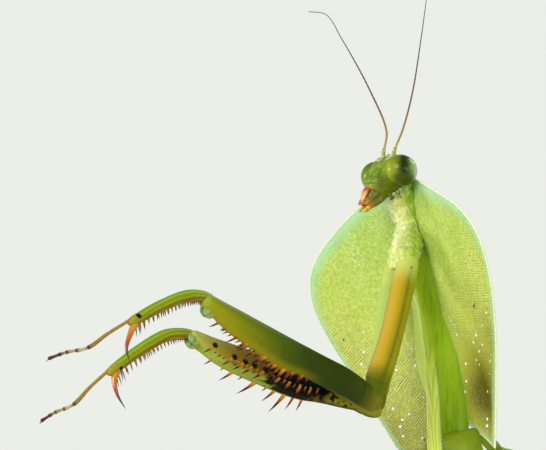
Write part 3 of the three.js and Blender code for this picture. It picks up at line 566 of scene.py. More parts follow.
def shieldPaint(wire, place):
    # Leaf green that yellows rearward, with ripples, speckle, two patches, a mint margin, pale warts and
    # painted white glints; the ripples' pale crests and dark troughs and the near-white edge line are
    # partly painted highlight and shade.
    rim, along = wire.mark("rim"), wire.mark("along")
    cloud = place.noise(5.0, 3)
    fine = place.noise(0.9, 3)
    leafGreen = along.ramp((0.0, "#9dc25a"), (0.35, "#afc550"), (0.6, "#b8c24c"),
                           (0.85, "#aaa83c"), (1.0, "#9f9c32"))
    leafGreen = layered(leafGreen, (cloud.step(0.35, 0.7) * 0.45, "#c2d062"),
                        (fine.step(0.5, 0.8) * 0.2, "#9fae40"))
    # painted highlight and shade: the ripples' crests are painted pale and their troughs dark, partly the
    # leaf's own tone
    ripple = (wire.mark("drift") * 28 + place.noise(1.3, 2) * 11).wave()
    strong = wire.mark("ripple") * (0.4 + 0.8 * place.noise(1.2, 2).step(0.35, 0.65))
    leafGreen = layered(leafGreen, (ripple.step(0.2, 1.0) * strong * 0.7, "#f4f6b0"),
                        (ripple.step(0.2, -0.8) * strong * 0.5, "#8c9018"))
    grit = place.noise(0.26, 2)
    leafGreen = layered(leafGreen, (grit.step(0.5, 0.66) * 0.28, "#e2eb9a"),
                        (grit.step(0.5, 0.34) * 0.35, "#93a62c"), (wire.mark("ochre") * 0.8, "#a6a604"))
    shade = wire.mark("olive") * (0.75 + 0.5 * cloud)
    leafGreen = shade.between(leafGreen, "#5c5800")
    shoulder = wire.mark("shoulder")
    mint = rim.step(1.7, 0.2) * shoulder + rim.step(0.75, 0.25) * 0.75 * (1 - shoulder)
    # the mint margin is the leaf's own colour; the near-white line at the very rim is partly a painted
    # highlight
    leafGreen = layered(leafGreen, (mint * (0.7 + 0.4 * fine), "#a5d09a"),
                        (rim.step(0.2, 0.05) * 0.9, "#f0f1cf"))
    specks = place.cells(1.9).step(0.1, 0.05) * place.noise(1.3).step(0.55, 0.62)
    leafGreen = layered(leafGreen, (specks * 0.8, "#5d4a1a"), (wire.mark("blot"), "#6a2412"))
    wartsAndGlints = place.cells(0.95).step(0.18, 0.12) * along.step(0.45, 0.65) * rim.step(0.7, 1.3)
    # painted highlight: white glints in the sheen spots, added to the real pale warts
    wartsAndGlints = wartsAndGlints + place.cells(0.2).step(0.32, 0.22) * wire.mark("sheen").step(0.15, 0.8)
    leafGreen = (wartsAndGlints * 0.95).between(leafGreen, "#fffff6")
    net = place.cells(0.62, "DISTANCE_TO_EDGE", 0.9)
    pebble = place.cells(0.27, "SMOOTH_F1")
    height = pebble * -0.03 + net.step(0.12, 0.0) * 0.02 + ripple * strong * 0.035
    height = height + cloud * 0.2 + wartsAndGlints * 0.05
    return {"Base Color": leafGreen, "Roughness": 0.3 + 0.25 * fine, "height": height}


softGreen = {"Subsurface_Weight": 0.1, "Subsurface_Scale": 0.001, "Subsurface_Radius": (0.6, 0.8, 0.2)}
shieldLook = material("shield leaf", shieldPaint, Specular_IOR_Level=0.16, **softGreen)


def makeShield():
    # The leaf as a thin plate with a keel on its upper side, a bead along its rim and soft waves.
    nu, nv = shield["grid"]
    u, v = np.linspace(0, 1, nu)[:, None], np.linspace(-1, 1, nv)[None, :]
    u = crowded(u, 0.4)
    v = mix(v, np.sin(np.pi / 2 * v), 0.45)
    along, across = np.broadcast_arrays(u, v)
    points = shieldPoint(along, across)
    normal = gridNormals(points, (nu // 2, nv // 2), 1)
    rim = rimDistance(points)
    # soft waves of the blade, strongest between the keel and the rim
    lobe = rise(np.abs(points[..., 0]), 2.5, 6)
    points = points + normal * (0.1 * grain(points, 4.5, 3) * lobe * rise(rim, 0, 1.5))[..., None]
    plate = shield["halfThickness"] * rise(rim, -0.05, 0.6)
    bead = shield["rimBead"] * hump(rim, 0.09, 0.1)
    keel = shield["keel"] * hump(across, 0, shield["keelWidth"]) * rise(rim, 0, 2)
    swell = 0.55 * hump(across, 0, 0.24) * hump(along, 0.27, 0.17)
    groove = 0.3 * hump(along, 0.42, 0.03) * hump(across, 0, 0.2)
    above = plate + bead + keel + swell - groove * rise(keel, 0, 0.3)
    left, behind = points[..., 0], -points[..., 2]

    def spread(name):  # a bell over a spot
        x, y, wide, long = shieldSpots[name]
        return np.exp(-((left - x) / wide) ** 2 - ((behind - y) / long) ** 2)

    olive = 0.45 * rise(along, 0.42, 0.95) * rise(rim, 5.5, 0.4) * rise(left, 3, 6)
    olive = olive + 0.95 * spread("olive") * rise(rim, 0.2, 0.9)
    olive = olive + 0.35 * rise(along, 0.5, 1.0) * rise(-left, 3, 7) * rise(rim, 3.5, 0.3)
    x, y, outside, inside = shieldSpots["blot"]
    blot = rise(np.hypot(left - x, behind - y), outside, inside)
    # fine ripples run obliquely over the rear half; painted highlights, white glints, lie near the right
    # shoulder
    right = left < 0
    drift = np.where(right, *(a * left + b * behind for a, b in shield["ripples"]))
    ripple = np.where(right, 0.12 + 0.88 * rise(along, 0.42, 0.68), 0.05 + 0.32 * hump(along, 0.55, 0.25))
    sheen = np.clip(spread("frontPaintedGlint") + spread("sidePaintedGlint"), 0, 1)
    sculpture = Sculpture(fromFore)
    leaf(sculpture, points, normal, np.maximum(above, 0.02), plate + bead * 0.8, rim=rim, along=along,
         olive=np.clip(olive, 0, 1), ochre=spread("ochre"), shoulder=rise(along, 0.62, 0.2), blot=blot,
         drift=drift, ripple=ripple, sheen=sheen)
    sculpture.finish("pronotumShield", [shieldLook], "shield_green", "pronotum_shield")


makeShield()

# Underside of the prothorax

prothoraxRows = [  # rearward, belly side, half width at the shield, half width of the ridge, back
    [6.2, 1.5, 1.3, 0.9, 0.5], [7.75, 1.75, 1.8, 1.0, 0.3], [9.75, 1.4, 2.35, 0.9, 0.0],
    [12.4, 1.0, 3.5, 0.7, -0.5], [14.5, 0.95, 4.2, 0.65, -0.7], [16.6, 0.95, 4.3, 0.65, -0.9],
    [18.6, 1.1, 3.6, 0.7, -1.1], [20.6, 1.2, 2.7, 0.8, -1.3], [23.5, 1.5, 1.8, 1.0, -1.2],
    [27, 1.8, 1.7, 1.2, -0.9]]
prothoraxMarks = {  # places to the left, rearward and towards the belly
    "dots": (1.0, 9.0, 1.5), "crease": (0.9, 9.3, 1.5), "creaseWay": (0.84, 1.1, -0.3),
}


def fleshPaint(wire, place):
    # Flanks of fine lengthwise threads, a paler streaked strip on the ridge, partly its own colour and
    # partly painted light, white borders and dark dots; painted shade at the wall's foot and painted light
    # on its right flank.
    along, belly, line = wire.mark("rear"), wire.mark("belly"), wire.mark("line")
    fine = place.noise(0.35, 2)
    wall = along.ramp((0.0, "#9aba20"), (0.35, "#96b812"), (0.6, "#8eae0e"), (0.8, "#7ea00a"),
                      (1.0, "#6e9208"))
    streak = (wire.mark("around") * 60 + 2.0 * place.stretched(0.5, 0.5, 0.16).noise(1, 2)).wave() * belly
    thread = place.stretched(3.4, 3.4, 0.3).noise(1, 2)
    # painted shade darkens the wall's foot where it meets the shield, and painted light makes its right
    # flank as pale as the shield
    wall = layered(wall, (thread.step(0.5, 0.7) * 0.4, "#8fae20"),
                   (thread.step(0.5, 0.3) * 0.35, "#4f7000"), (wire.mark("foot") * 0.4, "#4f7306"),
                   (wire.mark("flare") * 0.9, "#cadb68"))
    strip = along.step(0.3, 0.75).between("#a2b515", "#d0de5a")
    strip = (streak.step(0.0, 1.0) * 0.5).between(strip, "#84a010")
    # partly painted light: the strip is brightened rearward, where the coxa shades it
    wall = (belly * (0.35 + 0.65 * along.step(0.2, 0.5)) * 0.95).between(wall, strip)
    wall = line.between(wall, "#f0f3d2")
    spots = wire.mark("dots") * place.cells(0.3).step(0.2, 0.12)
    wall = (spots * 0.95).between(wall, "#2a260c")
    height = streak * 0.012 + fine * 0.012 + place.cells(0.3, "SMOOTH_F1") * -0.01
    return {"Base Color": wall, "Roughness": 0.34 + 0.14 * fine, "height": height}


fleshLook = material("thorax skin", fleshPaint, Specular_IOR_Level=0.1, **softGreen)


def ringThrough(knots, around):  # a smooth closed ring through the knots of every row
    many = knots.shape[1]
    turn = np.arange(around) / around * many
    i = np.floor(turn).astype(int)
    f = (turn - i)[:, None]
    return spline(*(knots[:, (i + k) % many] for k in (-1, 0, 1, 2)), f)


def makeProthorax():
    # In every row a smooth ring through ten knots, from the shield down to the ridge and up again.
    # Where a ring would pass through the shield it lies on it.
    rows, around = 220, 110
    rear = np.linspace(prothoraxRows[0][0], 27.2, rows)
    belly, wide, narrow, back = columns(table(prothoraxRows, np.minimum(rear, 27)))
    front = dome((rear - rear[0]) / 1.2, 0.02)
    belly = mix(0.8, belly, front)
    half = [(wide + 0.1, back), (mix(wide, narrow, 0.35), mix(back, belly, 0.38)),
            (mix(wide, narrow, 0.72), mix(back, belly, 0.72)), (narrow, belly - 0.14),
            (narrow * 0.45, belly)]
    knots = np.stack([np.stack(p, -1) for p in half + [(-x, y) for x, y in half[::-1]]], 1)
    ring = ringThrough(knots, around)
    left = ring[..., 0] * np.minimum(1, 0.6 + 0.4 * front)[:, None]
    behind = np.broadcast_to(rear[:, None], left.shape)
    slim = 0.42 * rise(behind, 18, 26)  # the ridge is narrower on the left towards its end
    left = left * np.where(left > 0, 1 - slim * rise(np.abs(left), 2.2, 1.2), 1)
    ground = shieldBelly(left, behind)
    down = np.maximum(ring[..., 1], ground - 0.04)
    points = fore(left, behind, down)
    uncovered = rise(down - ground, 0.1, 0.7)
    outward = unit(np.stack([left, -(down - 0.2), np.zeros_like(left)], -1))
    relief = (0.035 * np.sin(left * 11) + 0.025 * grain(points, 1.6, 5)) * uncovered
    points = points + outward * relief[..., None]
    ratio = np.abs(left) / (narrow[:, None] * np.where(left > 0, 1 - slim, 1))
    strip = rise(down - ground, 0.5, 0.8) * rise(ratio, 1.02, 0.85)
    farSide = np.where(left < 0, 1.0, 0.55 * rise(behind, 17, 20))
    beaded = np.where(left < 0, 1, 0.5 + 0.5 * rise(np.sin(behind * 17), -0.6, 0.2))
    edge = hump(ratio, 1.0, np.where(left < 0, 0.1, 0.05)) * rise(down - ground, 0.6, 0.9)
    edge = edge * farSide * rise(behind, 10, 11) * beaded
    edge = edge + 0.9 * hump(behind, 6.75 + 0.5 * np.abs(left), 0.12) * uncovered
    spot = hump(left, 1.2, 0.5) * hump(behind, 9.0, 0.6)
    spot = spot + 0.8 * hump(left, -1.1, 0.5) * hump(behind, 8.7, 0.7)
    spot = spot + 0.7 * hump(np.abs(left), 1.2, 0.3) * hump(behind, 11.6, 1.2)
    dots, crease, creaseWay = (fore(*place) for place in prothoraxMarks.values())
    spot = spot + 0.9 * rise(distance(points, dots), 0.75, 0.4)
    reach = np.clip((points - crease) @ creaseWay / 2.0, 0, 1)
    gap = distance(points - crease, reach[..., None] * creaseWay)
    edge = edge + 0.7 * rise(gap, 0.13, 0.05)
    # painted light: the wall's right flank and its lower part, which lie in shade, are painted as pale as
    # the shield
    flare = rise(down - ground, 0.3, 0.0) * rise(behind, 12, 14) * rise(behind, 21, 19)
    flare = flare + rise(left, -0.1, -0.4)
    sculpture = Sculpture(fromFore)
    ringSkin(sculpture, points, rear=(behind - 8) / 19, belly=strip, line=np.clip(edge, 0, 1), dots=spot,
             around=np.abs(left) / wide[:, None] * 0.6 + (down - ground) * 0.12,
             foot=hump(down - ground, 0.1, 0.35), flare=flare)
    sculpture.finish("prothoraxSkin", [fleshLook], "body_green", "prothorax")


makeProthorax()

# Neck and the soft folds between it, the prothorax and the coxae

neckRows = [  # rearward; to the left and towards the belly of the middle; half width, half depth
    [0.6, 1.5, 3.25, 1.2, 1.1], [1.3, 1.22, 2.92, 1.42, 1.3], [2.3, 0.84, 2.55, 1.66, 1.4],
    [3.6, 0.46, 2.0, 1.5, 1.25], [4.7, 0.3, 1.55, 1.32, 1.15], [5.6, 0.1, 1.5, 1.42, 1.35],
    [6.6, -0.15, 1.45, 1.3, 1.4], [7.6, -0.2, 1.1, 1.1, 1.1], [8.8, 0.0, 0.5, 0.8, 0.5]]
coxaRoots = {"Left": (1.55, 8.0, 3.45), "Right": (-0.95, 7.9, 2.1)}


def neckPaint(wire, place):
    # Creased membrane, pale in front and to the right and greener behind and to the left, partly its own
    # colour and partly painted light, with a smooth dark green strap along one side, dark olive under the
    # jaw and a painted shadow line in the gap there.
    cloud, fine = place.noise(0.8, 3), place.noise(0.2, 2)
    strap, fold, turn = wire.mark("strap"), wire.mark("fold"), wire.mark("turn")
    # partly painted light: the side that turn marks is painted paler, as if lit
    skin = (turn + 0.5 * (cloud - 0.5)).ramp((0.0, "#f2f5ae"), (0.3, "#e6ec94"), (0.55, "#cbd968"),
                                             (0.78, "#a6c234"), (1.0, "#88aa1c"))
    skin = layered(skin, (wire.mark("gold") * 0.75, "#c9c048"), (fold * 0.75, "#fbfbe6"),
                   (place.noise(0.45, 2).step(0.54, 0.68) * 0.35, "#b4ca4c"),
                   (wire.mark("collar") * 0.9, cloud.between("#485404", "#74820e")),
                   (wire.mark("slit"), "#161800"))
    band = place.stretched(1.0, 1.0, 0.3).noise(0.5, 2).ramp(
        (0.3, "#7f9f10"), (0.55, "#93b220"), (0.8, "#a9c63a"))
    colour = strap.between(skin, band)
    colour = (strap * (1 - strap) * 1.6).between(colour, "#e8efb4")
    specks = place.cells(1.1).step(0.13, 0.08) * (1 - strap)
    colour = (specks * 0.85).between(colour, "#5b4a18")
    lumps = place.cells(0.42, "SMOOTH_F1")
    crease = abs(place.stretched(1.5, 1.5, 0.8).noise(0.7, 3, 0.7) - 0.5).step(0.0, 0.07)
    height = (lumps * -0.12 + crease * 0.06 + fine * 0.02) * (1 - 0.85 * strap) + fine * 0.008
    return {"Base Color": colour, "Roughness": 0.14 + 0.14 * fine, "height": height}


neckLook = material("neck membrane", neckPaint, Specular_IOR_Level=0.4, Coat_Roughness=0.04,
                    Coat_Weight=0.6, **(softGreen | {"Subsurface_Weight": 0.15}))


def makeNeck():
    # Ovals along the neck with soft waves for folds, held below the shield, and a sleeve to each coxa.
    rows, around = 210, 110
    rear = np.linspace(neckRows[0][0], neckRows[-1][0], rows)
    leftMid, bellyMid, wide, deep = (column[:, None] for column in columns(table(neckRows, rear)))
    angle = ringAngles(around)[None, :]
    rear = rear[:, None]
    folds = (0.05 * np.sin(rear * 5.2 + 1.5 * np.cos(angle * 2)) + 0.05 * np.sin(rear * 3.1 - angle * 2)
             * rise(rear, 4, 6))
    x, y = wide * np.cos(angle), deep * np.sin(angle)
    left, down = leftMid + x * (1 + folds), bellyMid + y * (1 + folds)
    behind = rear + 0 * angle
    points = fore(left, behind, down)
    side = (x - y) / np.hypot(wide, deep)
    border = table([[0, -0.35], [2.3, 0.0], [3.6, 0.22], [5, 0.5], [6, 0.9], [12, 1.6]], rear[:, 0])
    strap = rise(side, border - 0.04, border + 0.04)
    outward = unit(np.stack([x / wide**2, -y / deep**2, np.zeros_like(x)], -1))
    ridged = 0.5 - np.abs(grain(points * vec(1, 1, 0.7), 0.95, 52)) * 0.75
    soft = (1 - strap) * rise(rear, 2.4, 4.4)
    relief = 0.09 * grain(points, 1.4, 51) + 0.08 * np.clip(ridged, 0, 1) + 0.03 * grain(points, 0.6, 53)
    relief = relief * soft
    points = points + outward * (relief + 0.05 * strap)[..., None]
    clear = shieldBelly(points[..., 0], -points[..., 2]) - 0.05
    roof = np.where(behind > 2.9, clear, -9)
    points[..., 1] = np.minimum(points[..., 1], -roof)
    pale = np.clip(rise(ridged, 0.36, 0.5) * soft * rise(grain(points, 2.4, 54), -0.2, 0.6), 0, 1)
    gold = hump(side, 0.0, 0.3) * hump(behind, 2.6, 0.8)
    ragged = behind + 0.12 * np.sin(angle * 7)
    border = 2.5 + 0.3 * side
    collar = rise(ragged - border, 0.08, -0.12) * (1 - strap)
    # painted shade: a dark broken line in the gap under the jaw
    slit = hump(ragged, border + 0.1, 0.11) * (1 - strap) * rise(np.sin(angle * 9 + 1), -0.7, 0.1)
    sculpture = Sculpture(fromFore)
    ringSkin(sculpture, points, strap=strap, fold=pale, gold=gold, turn=0.5 + 0.5 * side,
             collar=collar, slit=slit)
    for x, r, b in coxaRoots.values():  # folded sleeves that close on the coxae
        sign = 1 if x > 0 else -1
        line = np.array([fore(0.35 * sign, 6.1, 1.2), fore(0.75 * x, r - 0.9, mix(1.2, b, 0.62)),
                         fore(x, r + 0.1, b + 0.05), fore(x + 0.05 * sign, r + 1.3, b + 0.5)])

        def folds(t, a):  # rings that wander round the sleeve, and two finer waves, fading to both ends
            rings = 0.07 * np.sin(t * 21 + 1.6 * np.cos(2 * a + x))
            rings = rings + 0.05 * np.sin(5 * a + 9 * t) + 0.03 * np.sin(9 * a - 23 * t)
            return rings * rise(t, 1.0, 0.6) * rise(t, 0.0, 0.2)

        limb(sculpture, line, vec(1, 0, 0),
             lambda t: (through([[1.05], [1.1], [1.0], [0.92]], t)[..., 0],
                        through([[1.2], [1.24], [1.12], [1.0]], t)[..., 0]),
             130, 84, 0.96, (0.1, 0.12), swell=folds)
        marks = sculpture.marks
        t, around = marks["along"], marks["across"]
        marks["fold"] = 0.45 * hump(np.sin(t * 21 + 1.6), 1, 0.25) * rise(t, 0.8, 0.6)
        # the same painted light across each sleeve
        marks["turn"] = 0.42 + 0.3 * around * sign
    # the pale beads along the upper edge of the strap
    t = np.linspace(0, 1, 11)
    bead = mix(fore(2.25, 0.55, 2.35), fore(1.9, 1.35, 1.6), t[:, None])
    beads(sculpture, bead, 0.07 + 0.02 * np.sin(t * 40), 0, 6, 9, fold=1.0)
    sculpture.finish("neckSkin", [neckLook], "membrane", "neck")


makeNeck()

# Head

headRows = [  # height, half width, front, back
    [-2.15, 0.8, -0.8, 0.6], [-1.65, 1.1, -1.12, 0.9], [-1.2, 1.32, -1.36, 1.1], [-0.5, 1.6, -1.38, 1.42],
    [0.3, 1.97, -1.33, 1.45], [1.0, 2.1, -1.25, 1.28], [1.7, 1.95, -1.1, 1.0], [2.3, 1.4, -0.85, 0.7],
    [2.6, 0.7, -0.4, 0.4]]


def headPaint(wire, place):
    # Clouded green with pale wavering streaks in front, a darker cheek, dark grooves, cream rims and pale
    # dots that are partly painted glints.
    cloud, fine = place.noise(1.2, 3), place.noise(0.22, 3)
    front, height = wire.mark("front"), wire.mark("height")
    colour = cloud.ramp((0.3, "#477000"), (0.5, "#678a00"), (0.72, "#8fa20c"))
    streaks = (place.stretched(1.0, 1.0, 1.8).noise(0.7, 2, 0.6) * 26).wave().step(0.3, 1.0)
    colour = layered(colour, (streaks * front * 0.4, "#b4c04a"),
                     (wire.mark("cheek") * (0.6 + 0.5 * cloud), "#5a6208"),
                     (wire.mark("brow") * 0.75, "#8c9c20"), (wire.mark("groove") * 0.45, "#34480a"),
                     (wire.mark("cream"), "#e4e8b4"), (height.step(-1.3, -2.0) * front * 0.6, "#8a7c1c"))
    # pale dots, partly the shell's own pale pits and partly painted highlights: white glints
    dots = place.cells(0.3).step(0.13, 0.05) * place.noise(0.6).step(0.52, 0.62)
    colour = (dots * 0.55).between(colour, "#e6edb6")
    pits = place.cells(0.13, "SMOOTH_F1")
    wrinkle = (place.stretched(1, 1, 1.6).noise(0.8, 2, 0.5) * 20).wave()
    height = pits * 0.025 + wrinkle * 0.015 + cloud * 0.08
    return {"Base Color": colour, "Roughness": 0.2 + 0.2 * fine, "height": height}


headLook = material("head shell", headPaint, Specular_IOR_Level=0.12, Coat_Roughness=0.04, Coat_Weight=0.12,
                    **(softGreen | {"Subsurface_Scale": 0.0006}))


def makeHead():
    # Rounded squares stacked from mouth to crown, raised by plates, rims and grooves that are bells of the
    # distance to a line or a point.
    rows, around = 170, 180
    z = np.linspace(headRows[0][0] - 0.05, headRows[-1][0], rows)
    z = mix(z, mix(z[0], z[-1], 0.5 - 0.5 * np.cos(np.pi * np.linspace(0, 1, rows))), 0.5)
    width, front, back = columns(table(headRows, z))
    angle = ringAngles(around)
    c, s = np.cos(angle), np.sin(angle)
    square = mix(0.92, mix(0.92, 0.74, rise(-s, 0, 0.5)), rise(z, 0.6, -0.6)[:, None])
    x = width[:, None] * squared(c, square)
    y = ((front + back) / 2)[:, None] + ((back - front) / 2)[:, None] * squared(s, square)
    points = np.stack([x, y, np.broadcast_to(z[:, None], x.shape)], -1)
    out = gridNormals(points, (rows // 2, around // 4), 1)
    b, ahead = np.abs(x), rise(-y, 0.1, 0.7)
    h = points[..., 2]
    # frontal plate between the antennae and the clypeus, its border grooves, and the clypeus below it
    plate = rise(b, 1.05, 0.9) * rise(h, -0.72, -0.6) * rise(h, 1.35, 1.15) * ahead
    plateEdge = (hump(b, 1.02, 0.07) * rise(h, -0.75, -0.6) * rise(h, 1.4, 1.2)
                 + hump(h, -0.68, 0.06) * rise(b, 1.25, 1.1)) * ahead
    peak = 0.06 * hump(b, 0, 0.28) * plate * hump(h, 0.6, 0.6)
    clypeus = hump(h, -1.05, 0.28) * rise(b, 0.95, 0.75) * ahead
    clypeusEdge = hump(h, -1.36, 0.06) * rise(b, 1.0, 0.85) * ahead
    cheek = hump(b, 1.32, 0.08) * rise(h, -0.3, -0.6) * rise(h, -1.75, -1.4) * ahead
    crown = ((hump(b, 0.72, 0.07) + hump(b, 0, 0.06)) * rise(h, 1.9, 2.2)
             + hump(h, 1.95, 0.05) * ahead * rise(b, 1.0, 0.8))
    socket = np.hypot(b - 0.78, h - 1.72)
    rimOf = hump(socket, 0.34, 0.09) * ahead
    orbit = np.stack([b, y, h], -1) - eye["centre"] - eye["drop"]
    orbit = np.linalg.norm(orbit / eye["radii"], axis=-1) / eye["fuller"]
    collar = hump(orbit, 0.95, 0.24) * rise(-y, -0.6, 0.2)
    nape = 0.12 * hump(h, -0.2, 0.9) * rise(y, 0.3, 1.0) * np.cos(b * 4)
    grooves = np.clip(plateEdge + clypeusEdge + 0.7 * cheek + 0.7 * crown, 0, 1)
    relief = (0.05 * plate + peak + 0.07 * clypeus - 0.045 * grooves + 0.13 * rimOf + 0.27 * collar + nape
              + 0.012 * grain(points, 0.9, 21) - 0.1 * hump(socket, 0, 0.24) * ahead)
    points = points + out * relief[..., None]
    sculpture = Sculpture(fromHead)
    ringSkin(sculpture, points, front=ahead - 0.4 * (1 - ahead), height=h, groove=grooves,
             cream=np.clip(0.7 * rimOf, 0, 1), cheek=rise(h, 0.6, -0.9) * rise(b, 0.55, 1.2),
             brow=hump(orbit, 1.08, 0.12) * rise(h, -0.4, 0.3) * ahead)
    ocelli = np.array([[0, -1.06, 2.02], [0.4, -0.78, 2.3], [-0.4, -0.78, 2.3]])
    beads(sculpture, ocelli, 0.15, 0, 12, 18, cream=0.75, front=1.0, height=2.0)
    nodules = np.array([[s * (1.15 + 0.13 * k), 1.02 + 0.1 * k, -1.0 + 0.33 * k]
                        for s in (1, -1) for k in range(4)])
    beads(sculpture, nodules, np.array([0.2, 0.15, 0.19, 0.13] * 2), 0, 10, 14,
          cream=0.35, front=0.2, cheek=0.5)
    sculpture.finish("headSkin", [headLook], "head_green", "head")


makeHead()

# Compound eyes

# two directions across the left eye, in the head's frame: "sweep" runs from its inner to its outer margin
eyeLook = {"sweep": (0.522, 0.714, 0.476), "rise": (0.1, -0.603, 0.796), "pupil": (0.21, 0.0)}


def eyePaint(wire, place):
    # Green that passes through a dark band to a pale outer margin, with a small black pupil spot.
    pupil, sweep, climb = wire.mark("pupil"), wire.mark("sweep"), wire.mark("climb")
    cloud = place.noise(0.6, 3)
    drift = sweep + 0.12 * (cloud - 0.5)
    colour = drift.ramp((0.0, "#8ea020"), (0.12, "#8f9a1c"), (0.3, "#7c8610"), (0.44, "#485c04"),
                        (0.56, "#1c2a00"), (0.66, "#223200"), (0.75, "#48640e"), (0.83, "#7a9850"),
                        (0.92, "#b0c69a"))
    colour = (climb.step(0.3, 0.95) * drift.step(0.55, 0.3) * 0.8).between(colour, "#4f7c08")
    low = climb.step(0.02, -0.45) * drift.step(0.1, 0.42) * drift.step(0.98, 0.8)
    colour = (low * 0.85).between(colour, "#434d08")
    # the far eye gets its own paint: darker green above, paler and yellower low down and towards its outer
    # margin, partly painted light
    plain = climb.step(-0.5, 0.8).between("#7c9416", "#3c6404")
    plain = sweep.step(0.3, 0.8).between(plain, "#a9b44c")
    colour = (wire.mark("far") * 0.85).between(colour, plain)
    colour = pupil.step(0.1, 0.085).between(colour, "#020200")
    facets = place.cells(0.045, settled=0.5)
    return {"Base Color": colour, "Roughness": 0.12 + 0.1 * cloud, "height": facets * -0.003}


eyeShell = material("eye", eyePaint, Specular_IOR_Level=0.12, Coat_Weight=0.2, Coat_Roughness=0.03)


def makeEye(name, sign):
    # A ball of three radii, marked with how far a point lies along "sweep" and "rise" and from the pupil.
    rows, around = 90, 110
    polar = np.linspace(0.02, np.pi - 0.02, rows)[:, None]
    angle = ringAngles(around)[None, :]
    way = np.stack(np.broadcast_arrays(np.sin(polar) * np.cos(angle), np.sin(polar) * np.sin(angle),
                                       np.cos(polar)), -1)
    # a little fuller at the crown and at the back
    more = 0.02 * hump(way[..., 2], 0.9, 0.25) + 0.015 * way[..., 1]
    points = eye["centre"] + eye["drop"] + way * eye["radii"] * (eye["fuller"] + more)[..., None]
    points = points + (eye["rightDrop"] if sign < 0 else 0)
    points = points * vec(sign, 1, 1)
    sweepWay, riseWay = unit(vec(*eyeLook["sweep"])), unit(vec(*eyeLook["rise"]))
    sweep, climb, facing = way @ sweepWay, way @ riseWay, way @ np.cross(sweepWay, riseWay) > 0
    pupil = np.hypot((sweep - eyeLook["pupil"][0]) * 0.8, climb - eyeLook["pupil"][1])
    sculpture = Sculpture(fromHead)
    ringSkin(sculpture, points, pupil=np.where(facing, pupil, 2), sweep=0.5 + 0.5 * sweep, climb=climb,
             far=1.0 if sign < 0 else 0.0)
    sculpture.finish("eyeBall" + name, [eyeShell], "eye", "eye_" + name.lower())


for eyeName, eyeSign in bothSides:
    makeEye(eyeName, eyeSign)

# Mouthparts

mouth = {
    "labrum": {"path": [(0, -0.95, -1.55), (0, -1.06, -2.05), (0, -0.98, -2.65), (0, -0.8, -3.3)],
               "size": [(0.52, 0.2), (0.46, 0.24), (0.36, 0.22), (0.2, 0.13)], "olive": 0.0},
    "lowerLip": {"path": [(0, 0.5, -1.2), (0, 0.22, -2.4), (0, -0.15, -3.75)],
                 "size": [(0.6, 0.45), (0.52, 0.36), (0.26, 0.2)], "olive": 0.85},
    "mandible": {"path": [(0.5, -0.35, -1.2), (0.56, -0.42, -2.2), (0.36, -0.6, -3.35)],
                 "size": [(0.46, 0.62), (0.4, 0.5), (0.16, 0.22)], "olive": 1.0},
    "maxilla": {"path": [(0.6, 0.4, -1.2), (0.66, 0.18, -2.3), (0.36, -0.25, -3.6)],
                "size": [(0.42, 0.46), (0.36, 0.4), (0.16, 0.2)], "olive": 1.0},
    "palp": {"path": [(0.75, 0.2, -1.6), (0.9, -0.3, -1.95), (0.72, -0.62, -2.4), (0.52, -0.78, -2.95),
                      (0.34, -0.8, -3.55)],
             "size": [(0.14, 0.14), (0.15, 0.15), (0.14, 0.14), (0.12, 0.12), (0.07, 0.07)],
             "joints": (0.2, 0.42, 0.62, 0.82), "olive": 0.75},
    "lipPalp": {"path": [(0.36, 0.0, -2.8), (0.46, -0.22, -3.45), (0.24, -0.45, -4.05)],
                "size": [(0.14, 0.14), (0.17, 0.17), (0.1, 0.1)], "joints": (0.3, 0.62), "olive": -1.0},
}


def mouthPaint(wire, place):  # clouded orange with thin brown stripes, olive at the root, yellow palp ends
    along, joint, olive = wire.mark("along"), wire.mark("joint"), wire.mark("olive")
    cloud, fine = place.noise(0.4, 2), place.noise(0.12, 2)
    colour = cloud.ramp((0.3, "#a8581a"), (0.5, "#cf8428"), (0.72, "#e2b048"))
    colour = olive.step(0.0, -1.0).between(colour, "#dcc23c")
    root = olive.step(0.0, 1.0) * along.step(0.95, 0.66)
    colour = root.between(colour, cloud.between("#4c5206", "#6f7412"))
    stripe = (along * 40 + 3 * cloud).wave().step(0.2, 1.0)
    colour = layered(colour, (stripe * 0.35 * (1 - root), "#7a3c10"), (joint * 0.75, "#5c2a0e"))
    return {"Base Color": colour, "Roughness": 0.18 + 0.15 * fine, "height": fine * 0.01}


def labrumPaint(wire, place):  # bands from olive through red to pale orange
    along = wire.mark("along")
    cloud, fine = place.noise(0.5, 2), place.noise(0.12, 2)
    colour = along.ramp((0.0, "#9aa13a"), (0.12, "#c0a040"), (0.22, "#b03c1c"),
                        (0.4, "#b8441c"), (0.52, "#d6965c"), (0.8, "#dfb56a"), (1.0, "#b87430"))
    colour = (cloud.step(0.5, 0.8) * 0.5).between(colour, "#e0a458")
    return {"Base Color": colour, "Roughness": 0.2 + 0.15 * fine, "height": fine * 0.01}


gloss = {"Specular_IOR_Level": 0.25, "Coat_Weight": 0.2, "Coat_Roughness": 0.06}
mouthLook = material("mouth shell", mouthPaint, **gloss)
labrumLook = material("labrum shell", labrumPaint, **gloss)


def addMouthPart(sculpture, part, sign=1):  # a limb through the part's points, pinched at its joints
    shape = mouth[part]
    line = np.array(shape["path"], float) * vec(sign, 1, 1)
    joints = shape.get("joints", ())

    def pinch(t):  # a bell at every joint
        return sum((hump(t, j, 0.03) for j in joints), np.zeros_like(t))

    def size(t):
        width, depth = columns(through(shape["size"], t))
        return width * (1 - 0.3 * pinch(t)), depth * (1 - 0.3 * pinch(t))

    limb(sculpture, line, vec(1, 0, 0), size, 70, 32, blunt=(0.05, 0.12))
    sculpture.marks.update(joint=pinch(sculpture.marks["along"]), olive=shape["olive"])


